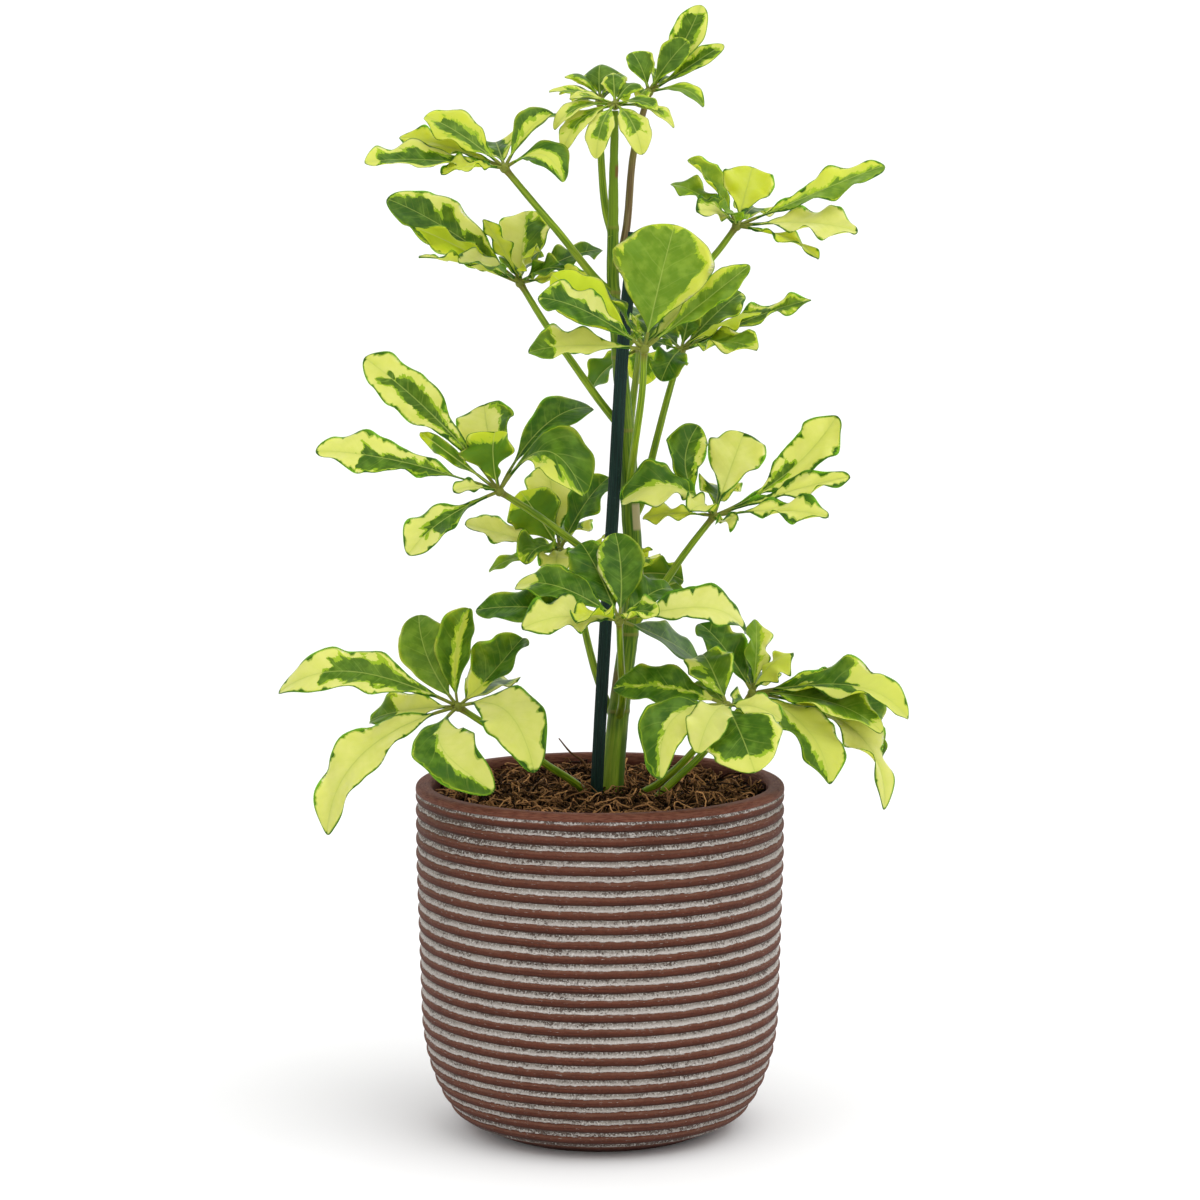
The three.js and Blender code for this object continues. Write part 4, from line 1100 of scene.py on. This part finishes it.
def leaf_top(leaf, dark, mid, rim, band):
    """The upper side: cream to lime, its green, its rim, its veins and its midrib."""
    veins = vein_lines(leaf, leaf.vein, VEIN_PITCH, 0.42, 0.5)
    bold_veins = vein_lines(leaf, leaf.vein + leaf.broad * 5.0, BOLD_VEIN_PITCH, 0.45, 0.49)
    # Young tissue next to the midrib keeps a greener yellow.
    light = layered(
        coloured(leaf.lime, (238, 237, 158), (206, 217, 50)),
        (leaf.spots * 1.4 + 0.3, (212, 220, 104)),
        ((0.5 - leaf.aside * 0.12).eased(0.0, 0.6) * 0.35, (204, 216, 92)),
    )
    # The dark green's lighter blotches are partly its own mottling and partly a painted sheen.
    dark_green = layered(
        coloured(leaf.paleness, (47, 93, 8), (120, 160, 38)),
        (leaf.spots.eased(-0.12, 0.2) * 0.7, coloured(leaf.paleness, (98, 142, 36), (160, 190, 66))),
        (leaf.flecks.eased(0.66, 0.76) * 0.2, (96, 140, 44)),
    )
    return layered(
        light,
        (mid, coloured(leaf.paleness, (154, 188, 40), (180, 206, 50))),
        (dark, dark_green),
        (band * 0.8, coloured(leaf.lime, (124, 162, 36), (146, 178, 30))),
        (rim, (46, 92, 12)),
        (veins * (dark * 0.12 + 0.05), (160, 190, 80)),
        (bold_veins * (dark * 0.2 + 0.06), (176, 202, 90)),
        (leaf.midrib * (dark * 0.3 + 0.35), (184, 202, 92)),
    )


def leaf_underside(leaf, dark, mid, rim):
    """The underside: the same pattern in paler greens, partly the underside's own colour and partly
    painted light that shines through the blade.
    """
    return layered(
        coloured(leaf.lime, (226, 235, 100), (198, 217, 42)),
        (mid, (168, 202, 44)),
        (dark, coloured(leaf.paleness, (84, 130, 22), (156, 196, 36))),
        (rim, (72, 118, 24)),
        (leaf.midrib * 0.8, (200, 212, 104)),
    )


def leaf_finish():
    """Waxy variegated blade: ragged dark green along the side veins, on cream that turns lime."""
    material, tree, shader, place = new_finish("waxy_leaf_blade")
    leaf = leaf_marks(tree)
    dark, mid = green_shares(leaf)
    rim, band = rim_shares(leaf)
    is_under = 1.0 - leaf.upper.eased(-0.4, -0.1)
    on_stalk = 1.0 - leaf.blade.eased(-0.03, 0.03)
    surface = layered(
        leaf_top(leaf, dark, mid, rim, band),
        (is_under, leaf_underside(leaf, dark, mid, rim)),
        (on_stalk, coloured(leaf.spots + 0.5, (150, 168, 62), (122, 120, 52))),
    )
    surfaced(shader, surface, cloud(place, 300.0) * 0.12 + is_under * 0.2 + 0.3, 0.11)
    shader.inputs["Subsurface Weight"].default_value = 0.8
    shader.inputs["Subsurface Radius"].default_value = (1.0, 1.0, 0.5)
    shader.inputs["Subsurface Scale"].default_value = 0.002
    quilt = ((leaf.vein / VEIN_PITCH).number("FRACT") * math.pi).number("SINE")
    height = quilt * 0.5 * (1.0 - leaf.out * 0.6) - leaf.midrib * 0.5
    relief(shader, height + leaf.spots * 1.6 + leaf.flecks * 0.4, 0.0003, 0.5)
    return material


def rod_streaks(tree, across, along, *noise):
    """Which way a rod's surface faces, how far along the rod it is, and fine streaks along it."""
    around_x, around_y, length = read_mark(tree, "grain").parts()
    streak = cloud(joined(tree, around_x * across, around_y * across, length * along), *noise)
    return around_x, length, streak


def stalk_finish(name, first, second):
    """Satin stalk, browner towards its hub, with fine streaks along it."""
    material, tree, shader, place = new_finish(name)
    _, length, streak = rod_streaks(tree, 2.6, 0.03, 1.6, 3.0)
    patch = cloud(place, 38.0, 2.0)
    near_hub = 1.0 - length.eased(1.0, 9.0)
    skin = layered(
        coloured(streak.eased(0.4, 0.6), first, second),
        (patch.eased(0.5, 0.75) * 0.4, (144, 152, 46)),
        (near_hub * 0.7, (126, 102, 50)),
    )
    surfaced(shader, skin, streak * 0.15 + 0.34, 0.2)
    relief(shader, cloud(place, 1400.0) * 0.4 + streak, 0.0002, 0.5)
    return material


def near_height(height, middle, solid, gone):
    """1 within the first distance of a height, and 0 past the second."""
    return 1.0 - (height - middle).number("ABSOLUTE").eased(solid, gone)


def bark_finish():
    """The stem's smooth green bark: one side darker near the soil, a dry sheath, rings at its nodes."""
    material, tree, shader, place = new_finish("green_stem_bark")
    around_x, _, streak = rod_streaks(tree, 2.6, 0.02, 1.8, 4.0, 0.6)
    height = place.parts()[2] / MM
    patch = cloud(place, 45.0, 3.0)
    waver = patch - 0.5
    low = 1.0 - (height + waver * 16.0).eased(212.0, 226.0)
    darker = (around_x + (streak - 0.5) * 0.5).eased(0.35, 0.55)
    on_left = 1.0 - (around_x + waver * 0.6).eased(-0.35, -0.1)
    sheath = near_height(height + waver * 14.0, SHEATH_HEIGHT, 4.0, 7.0) * on_left
    ring_height = height + waver * 3.0
    rings = near_height(ring_height, STEM_NODE_HEIGHTS[0], 0.5, 1.4)
    for node_height in STEM_NODE_HEIGHTS[1:]:
        rings = rings.number("MAXIMUM", near_height(ring_height, node_height, 0.5, 1.4))
    bark = layered(
        coloured(streak.eased(0.35, 0.65), (66, 110, 12), (134, 164, 40)),
        (patch.eased(0.52, 0.72) * 0.5, (152, 170, 66)),
        (low, coloured(streak.eased(0.3, 0.75), (130, 168, 32), (180, 204, 70))),
        (darker * low * 0.85, (58, 96, 24)),
        (sheath * 0.65, (122, 86, 50)),
        (rings * 0.6, (150, 142, 66)),
        (height.eased(YOUNG_BARK_FROM, YOUNG_BARK_FROM + 7) * 0.7, (128, 160, 28)),
        (near_height(height, SCAR_HEIGHT, 6.0, 8.0) * around_x.eased(0.1, 0.25), (198, 186, 136)),
        (near_height(height, BUD_HEIGHT, 2.0, 4.5) * around_x.eased(0.1, 0.5) * 0.8, (132, 84, 40)),
    )
    surfaced(shader, bark, streak * 0.2 + 0.36, 0.15)
    relief(shader, streak + rings * 0.8 + cloud(place, 900.0) * 0.3, 0.0003, 0.6)
    return material


def stake_finish():
    """Satin dark green coating, with fine streaks along it and a little dust."""
    material, tree, shader, place = new_finish("dark_green_stake_coating")
    _, _, streak = rod_streaks(tree, 5.0, 0.02, 1.6, 3.0)
    speck = cloud(place, 700.0, 2.0)
    coat = layered(
        coloured(streak.eased(0.4, 0.7), (8, 40, 34), (20, 62, 52)),
        (speck.eased(0.62, 0.75) * 0.5, (56, 88, 74)),
    )
    surfaced(shader, coat, streak * 0.2 + 0.4, 0.2)
    relief(shader, streak + speck * 0.4, 0.0002, 0.6)
    return material


def clay_finish():
    """Matt brown clay, with a grey-white wash that lies speckled in the grooves between the ribs."""
    material, tree, shader, place = new_finish("washed_brown_clay")
    x, y, z = place.parts()
    height = z / MM
    ring = (x * x + y * y) ** 0.5 / MM
    around = y.number("ARCTAN2", x)
    on_wall = read_mark(tree, "face").parts()[0]
    grain = cloud(place, 560.0, 3.0, 0.7)
    speckle = cloud(place, 1050.0, 2.0, 0.6)
    mottle = cloud(place, 26.0, 3.0)
    streak = cloud(joined(tree, around * 3.0, height * 1.1, 0.0), 1.0, 4.0, 0.65)
    scratch = cloud(joined(tree, around * 22.0, height * 2.6, 3.0), 1.0, 3.0, 0.6)
    patches = cloud(joined(tree, around * 8.0, height * 0.4, 9.0), 1.0, 3.0, 0.65)
    brushed = cloud(joined(tree, around * 18.0, height * 2.2, ring * 1.6), 1.0, 3.0, 0.6)
    # From 0 to 1 down through one pitch, as in RIB_SECTION: a crest is near 0.4, a groove near 0.8.
    waver = (cloud(place, 60.0, 4.0, 0.6) - 0.5) * 0.2 + (cloud(place, 420.0, 3.0, 0.6) - 0.5) * 0.16
    phase = ((RIB_TOP + RIB_PITCH / 2 - height) / RIB_PITCH + waver).number("FRACT")
    above_ribs = height.eased(182.6, 184.0)

    # Along its upper edge a rib is painted paler, a painted highlight where its round crest catches the
    # light, and the undercut below it is painted darker, a painted shade.
    brown = layered(
        coloured(streak.eased(0.3, 0.7), (77, 36, 21), (109, 55, 36)),
        (mottle.eased(0.42, 0.7) * 0.6, (99, 52, 35)),
        (grain.eased(0.5, 0.65) * 0.4, (70, 34, 22)),
        (phase.within(0.06, 0.16, 0.2, 0.4) * on_wall * patches * 0.9, (140, 98, 78)),
        (height.eased(185.2, 186.6) * brushed.eased(0.35, 0.65) * 0.6, (152, 98, 76)),
        (phase.within(0.42, 0.7, 0.74, 0.8) * on_wall * 0.8, (50, 25, 15)),
    )

    # The wash lies in the groove, thin under the rib and thick on the slope above the next one. It
    # narrows and thins towards the rim and the foot, and it widens above the last rib.
    ragged = phase + height.eased(110.0, 180.0) * 0.07 - above_ribs * 0.15
    ragged = ragged + (scratch - 0.5) * 0.2 + (1.0 - height.eased(15.0, 75.0)) * 0.09
    groove = (phase.eased(0.7, 0.74) + (1.0 - ragged.eased(0.1, 0.16))).number("MINIMUM", 1.0) * on_wall
    since_rib = (phase - 0.72).number("FRACT") / 0.4
    thickness = since_rib * 0.7 + 0.3 - height.eased(150.0, 182.0) * 0.25 - above_ribs * 0.45
    thickness = thickness - (1.0 - height.eased(4.0, 30.0)) * 0.5 + (mottle - 0.5) * 1.3
    thickness = thickness + (speckle - 0.5) * 2.6 + (grain - 0.5) * 2.6 + (patches - 0.5) * 1.8
    cover = thickness.eased(0.0, 0.5)
    # Under the rib the wash is thin and its colour darker, partly the wash's own and partly painted shade
    # beneath the rib; it grows lighter towards the next rib.
    wash = layered(
        coloured(since_rib.eased(0.2, 1.0), (164, 155, 145), (214, 206, 199)),
        (speckle.eased(0.55, 0.68) * 0.8, (244, 239, 233)),
    )
    stray = scratch.eased(0.64, 0.69) * (phase.within(0.06, 0.14, 0.26, 0.5) + 0.1)
    clay = layered(
        brown,
        (groove, coloured(grain.eased(0.35, 0.65), (116, 101, 92), (66, 47, 38))),
        (groove * cover, wash),
        (stray * on_wall * 0.8, (214, 205, 196)),
    )
    surfaced(shader, clay, grain * 0.2 + 0.62, 0.2)
    relief(shader, grain * 0.6 + groove * cover * 0.5 + streak * 0.9 + speckle * 0.3, 0.0006, 0.9)
    return material


def soil_finish():
    """Dark potting soil, seen between the fibres."""
    material, _, shader, place = new_finish("dark_potting_soil")
    grain = cloud(place, 700.0, 4.0, 0.7)
    patch = cloud(place, 70.0, 3.0)
    earth = layered(
        coloured(grain.eased(0.35, 0.7), (8, 5, 2), (30, 20, 12)),
        (patch.eased(0.5, 0.75) * 0.5, (24, 17, 11)),
    )
    surfaced(shader, earth, 0.92, 0.04)
    relief(shader, grain + patch, 0.001, 0.8)
    return material


def fibre_finish(name, first, second):
    """Coir or bark in tones between two colours, with painted shade that darkens it the deeper it lies."""
    material, tree, shader, place = new_finish(name)
    tone = read_mark(tree, "tone").parts()[0]
    grain = cloud(place, 2400.0, 2.0)
    # Painted shade: the lower a fibre or crumb lies in the bed, the darker it is painted, for the shade of
    # those lying over it.
    painted_depth_shade = 1.0 - (place.parts()[2] / MM).eased(SOIL_LEVEL + 1.8, SOIL_LEVEL + 6.2)
    colour = layered(
        coloured(tone ** 1.9, first, second),
        (painted_depth_shade * 0.97, (10, 6, 2)),
        (grain.eased(0.5, 0.7) * 0.3, (50, 34, 20)),
    )
    surfaced(shader, colour, 0.85, 0.06)
    relief(shader, grain, 0.0003, 0.6)
    return material


def stage_finish():
    """Plain matt white, very slightly uneven."""
    material, _, shader, place = new_finish("plain_white_floor")
    surfaced(shader, cloud(place, 3.0, 2.0) * 0.02 + 0.91, 0.9, 0.1)
    return material


# Forms

def smooth_line(route, spacing=1.5):
    """Evenly spaced points on the smooth curve through a route, and each one's share of its length."""
    points = np.array(route, dtype=float)
    points = np.vstack([2 * points[0] - points[1], points, 2 * points[-1] - points[-2]])
    gaps = [max(np.linalg.norm(points[i + 1] - points[i]) ** 0.5, 1e-4) for i in range(len(points) - 1)]
    dense = []
    for i in range(1, len(points) - 2):
        before, gap, after = gaps[i - 1], gaps[i], gaps[i + 1]
        start, end = points[i], points[i + 1]
        leaving = ((start - points[i - 1]) / before - (end - points[i - 1]) / (before + gap)
                   + (end - start) / gap) * gap
        arriving = ((end - start) / gap - (points[i + 2] - start) / (gap + after)
                    + (points[i + 2] - end) / after) * gap
        for t in np.linspace(0, 1, 40, endpoint=False):
            cube, square = t ** 3, t ** 2
            dense.append(start * (2 * cube - 3 * square + 1) + leaving * (cube - 2 * square + t)
                         + end * (3 * square - 2 * cube) + arriving * (cube - square))
    dense = np.array(dense + [points[-2]])
    walked = np.concatenate([[0], np.cumsum(np.linalg.norm(np.diff(dense, axis=0), axis=1))])
    steps = max(int(walked[-1] / spacing), 8)
    places = np.linspace(0, walked[-1], steps + 1)
    line = np.stack([np.interp(places, walked, dense[:, axis]) for axis in range(3)], axis=1)
    return line, places / walked[-1]


def pot_radius(height):
    """The pot's outer radius at the crests of its ribs."""
    if height < POT_WAIST_HEIGHT:
        below = (POT_WAIST_HEIGHT - height) / POT_WAIST_HEIGHT
        return POT_FOOT_RADIUS + (POT_WAIST_RADIUS - POT_FOOT_RADIUS) * math.sqrt(1 - below * below)
    above = (height - POT_WAIST_HEIGHT) / (POT_SHOULDER_HEIGHT - POT_WAIST_HEIGHT)
    return POT_WAIST_RADIUS + (POT_RADIUS - POT_WAIST_RADIUS) * min(above, 1)


def hollow_radius(height):
    """The radius of the pot's inside, whose wall is thicker towards the foot."""
    share = (height - POT_FLOOR) / (POT_HEIGHT - POT_FLOOR)
    return pot_radius(height) - (POT_FOOT_WALL + (POT_WALL - POT_FOOT_WALL) * share)


def side_heights(count):
    """Heights up the pot's inside, from its floor to the soil's level."""
    rise = SOIL_LEVEL - POT_FLOOR
    return [POT_FLOOR + rise * (ring / count) ** RING_CROWDING for ring in range(count + 1)]


def pot_outline():
    """The pot's section from the middle of its underside up over the rim and down to its floor."""
    outside = [(0, 0, 0), (POT_FOOT_RADIUS * 0.5, 0, 0), (POT_FOOT_RADIUS - 1, 0, 0)]
    for rib in range(RIB_COUNT - 1, -1, -1):
        for phase, drop in reversed(RIB_SECTION):
            height = RIB_TOP - rib * RIB_PITCH + (0.5 - phase) * RIB_PITCH
            if RIBS_START < height < RIBS_END:
                outside.append((pot_radius(height) - drop * RIB_DEPTH, height, 1))
    rim = [(POT_RADIUS, LIP_START, 0)]
    turns = [step_number / 6 * math.pi / 2 for step_number in range(7)]
    for turn in turns:
        drop = LIP_ROUND * (1 - math.sin(turn))
        rim.append((POT_RADIUS - LIP_ROUND * (1 - math.cos(turn)), POT_HEIGHT - drop, 0))
    for turn in turns:
        drop = LIP_DROP * (1 - math.cos(turn))
        rim.append((POT_RADIUS - POT_WALL + LIP_ROUND * (1 - math.sin(turn)), POT_HEIGHT - drop, 0))
    inside = [(hollow_radius(height), height, 0) for height in reversed(side_heights(24))]
    return outside + rim + inside + [(0, POT_FLOOR, 0)]


def soil_outline():
    """The soil's section from the middle of its underside up its side and in over its top."""
    bottom = POT_FLOOR + SOIL_GAP
    side = [(hollow_radius(height) - SOIL_GAP, max(height, bottom), 0) for height in side_heights(18)]
    edge = side[-1][0]
    top = [(edge * ring / SOIL_RINGS, SOIL_LEVEL, 1) for ring in range(SOIL_RINGS - 1, -1, -1)]
    return [(0, bottom, 0)] + side + top


def outline_mesh(name, outline):
    """A section as a line, with its points marked 1 on the ribbed wall or the soil's top, else 0."""
    points = [(radius * MM, 0, height * MM) for radius, height, _ in outline]
    return start_mesh(name, points, {"face": [face for _, _, face in outline]}, line=True)


def leaflet_marks(leaf, leaf_number):
    """The marks of every leaflet of one leaf, worked out from its rows."""
    kinds = ("reach", "bend", "right", "build", "sway", "greens", "span", "tones", "lot")
    marks = {kind: [] for kind in kinds}
    for row_number, row in enumerate(leaf["leaflets"]):
        x, y, z, width, arch, side, roll, fold, look = row[:9]
        droop, wave, ruffle = row[9] if len(row) > 9 else USUAL_SWAY
        reach = Vector((x, y, z))
        along = reach.normalized()
        right = along.cross(Vector(leaf["faces"])).normalized()
        right = Matrix.Rotation(math.radians(roll), 3, along) @ right
        up = right.cross(along)
        bend = reach * 0.5 + up * (2 * arch * (1 - 0.9 * droop)) + right * (2 * side)
        phase = leaf_number * 3 * WAVE_SHIFT + row_number * WAVE_SHIFT
        left_green, right_green, gap, begins, ends, rim, lime, paleness, rag = LOOKS[look]
        marks["reach"].append(reach * MM)
        marks["bend"].append(bend * MM)
        marks["right"].append(right)
        marks["build"].append((width / 2 * MM, math.radians(fold), phase))
        marks["sway"].append((arch * droop * MM, wave, ruffle))
        marks["greens"].append((left_green, right_green, gap))
        marks["span"].append((begins, ends, rim))
        marks["tones"].append((lime, paleness, rag))
        seed = leaf_number * PATTERN_SHIFTS[0] + row_number * PATTERN_SHIFTS[1]
        marks["lot"].append((seed, reach.length, 0))
    return marks


# Making the pieces

def dress(piece, slot, *nodes):
    """Says what body a piece rides on and which nodes it replaces; its slot is not used."""
    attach(piece, "root")
    if nodes:
        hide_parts(*nodes)


def stalk_girth(shares):
    """The girth along a stalk, from its hub to its root, with a swelling at each end."""
    at_root = np.clip((shares - (1 - ROOT_SHARE)) / ROOT_SHARE, 0, 1) ** 2
    at_hub = np.clip(1 - shares / HUB_SHARE, 0, 1)
    taper = STALK_TIP_RADIUS + (STALK_ROOT_RADIUS - STALK_TIP_RADIUS) * shares
    return taper + ROOT_SWELL * at_root + HUB_SWELL * at_hub


def make_leaves(blade, stalk, brown_stalk, leaflets, rod):
    """Every leaf's blades, and the stalk of each leaf that has one."""
    for leaf_number, (name, leaf) in enumerate(LEAVES.items()):
        marks = leaflet_marks(leaf, leaf_number)
        points = start_mesh(name, [(0, 0, 0)] * len(leaf["leaflets"]), marks)
        hub = [value * MM for value in leaf["hub"]]
        piece = grown(f"{name}_blades", leaflets, points, blade, {
            "Hub": hub, "Widest At": leaf["widest"], "Wave Height": leaf["wave"] * MM,
            "Ruffle Height": leaf["ruffle"] * MM,
        })
        dress(piece, "leaf_blade", f"{name}_leaflets")
        if leaf["stalk"]:
            line, shares = smooth_line([leaf["hub"]] + leaf["stalk"])
            route = start_mesh(name, line * MM, {"girth": stalk_girth(shares) * MM}, line=True)
            finish = brown_stalk if name == "leaf_crown_right" else stalk
            piece = grown(f"{name}_stem", rod, route, finish, {"Sides": 14})
            dress(piece, "leaf_stalk", f"{name}_stalk")


def make_stem(bark, rod):
    line, shares = smooth_line(STEM_ROUTE)
    girth = np.interp(shares, np.linspace(0, 1, len(STEM_RADII)), STEM_RADII)
    for node_height in STEM_NODE_HEIGHTS:
        girth += STEM_NODE_SWELL * np.exp(-((line[:, 2] - node_height) / STEM_NODE_REACH) ** 2)
    route = start_mesh("main_stem", line * MM, {"girth": girth * MM}, line=True)
    piece = grown("stem", rod, route, bark, {"Sides": 32, "Unevenness": 0.0003})
    dress(piece, "stem_bark", "main_stem")


def make_stake(coating, rod):
    line, _ = smooth_line(STAKE_ROUTE)
    girth = [STAKE_RADIUS * MM] * len(line)
    route = start_mesh("stake_line", line * MM, {"girth": girth}, line=True)
    piece = grown("stake_rod", rod, route, coating, {
        "Sides": 64, "Ridges": 16.0, "Ridge Depth": 0.0004, "Unevenness": 0.00005,
    })
    dress(piece, "stake_coating", "stake")


def make_stage():
    """A plain pale floor that sweeps up behind the plant."""
    rows = 40
    flat_share, sweep_share = 0.5, 0.35
    wall_share = 1 - flat_share - sweep_share
    points, faces = [], []
    for row in range(rows + 1):
        share = row / rows
        flat = min(share / flat_share, 1)
        turn = min(max(share - flat_share, 0) / sweep_share, 1) * math.pi / 2
        wall = max(share - flat_share - sweep_share, 0) / wall_share
        y = FLOOR_FRONT + (SWEEP_START - FLOOR_FRONT) * flat + SWEEP_RADIUS * math.sin(turn)
        z = SWEEP_RADIUS * (1 - math.cos(turn)) + WALL_HEIGHT * wall
        points += [(-FLOOR_HALF_WIDTH, y, z), (FLOOR_HALF_WIDTH, y, z)]
        if row:
            left = row * 2
            faces.append((left - 2, left - 1, left + 1, left))
    mesh = bpy.data.meshes.new("floor")
    mesh.from_pydata(points, [], faces)
    mesh.shade_smooth()
    mesh.materials.append(stage_finish())
    floor = new_object("floor", mesh)


def add_lamp(name, place, width, power):
    """A round, soft lamp turned to the plant."""
    lamp = bpy.data.lights.new(name, "AREA")
    lamp.shape = "DISK"
    lamp.size = width
    lamp.energy = power
    holder = new_object(name, lamp)
    holder.location = place
    holder.rotation_euler = (Vector(LAMP_TARGET) - Vector(place)).to_track_quat("-Z", "Y").to_euler()


def set_camera_and_light():
    camera = bpy.data.cameras.new("camera")
    camera.lens = CAMERA_LENS
    camera.sensor_width = CAMERA_SENSOR
    holder = new_object("camera", camera)
    holder.location = CAMERA_PLACE
    holder.rotation_euler = (math.radians(90 - CAMERA_TILT), 0, 0)
    bpy.context.scene.camera = holder
    world = bpy.data.worlds.new("studio")
    world.use_nodes = True
    background = world.node_tree.nodes["Background"]
    background.inputs["Color"].default_value = (1, 1, 1, 1)
    background.inputs["Strength"].default_value = SKY_LIGHT
    bpy.context.scene.world = world
    bpy.context.scene.view_settings.view_transform = "Standard"
    for name, (place, width, power) in LAMPS.items():
        add_lamp(name, place, width, power)


def make_plant():
    rod = rod_tree()
    stalk = stalk_finish("satin_green_stalk", (104, 142, 16), (160, 188, 40))
    brown_stalk = stalk_finish("brownish_stalk", (112, 88, 52), (146, 128, 82))
    make_leaves(leaf_finish(), stalk, brown_stalk, leaflet_tree(), rod)
    make_stem(bark_finish(), rod)
    make_stake(stake_finish(), rod)
    pot = grown("ribbed_pot", pot_tree(), outline_mesh("pot_line", pot_outline()), clay_finish())
    dress(pot, "pot_clay", "pot")
    bed = grown("soil_bed", soil_tree(), outline_mesh("soil_line", soil_outline()), soil_finish())
    dress(bed, "potting_soil", "soil")
    crumb_material = fibre_finish("bark_crumb", (24, 15, 9), (74, 48, 30))
    crumbs = grown("bark_crumbs", crumb_tree(), bed.data.copy(), crumb_material)
    dress(crumbs, "potting_soil")
    coir = fibre_finish("coir_fibre", (42, 24, 11), (246, 182, 122))
    fibres = grown("coir_fibres", fibre_tree(), bed.data.copy(), coir)
    dress(fibres, "potting_soil")
    for name, (girth, tone, route) in LOOSE_FIBRES.items():
        line, shares = smooth_line(route)
        taper = 1.15 - shares * 0.7
        marks = {"girth": girth * taper * MM, "tone": [tone] * len(line)}
        strand = grown(name, rod, start_mesh(name, line * MM, marks, line=True), coir, {"Sides": 6})
        dress(strand, "potting_soil")


set_camera_and_light()
make_stage()
make_plant()
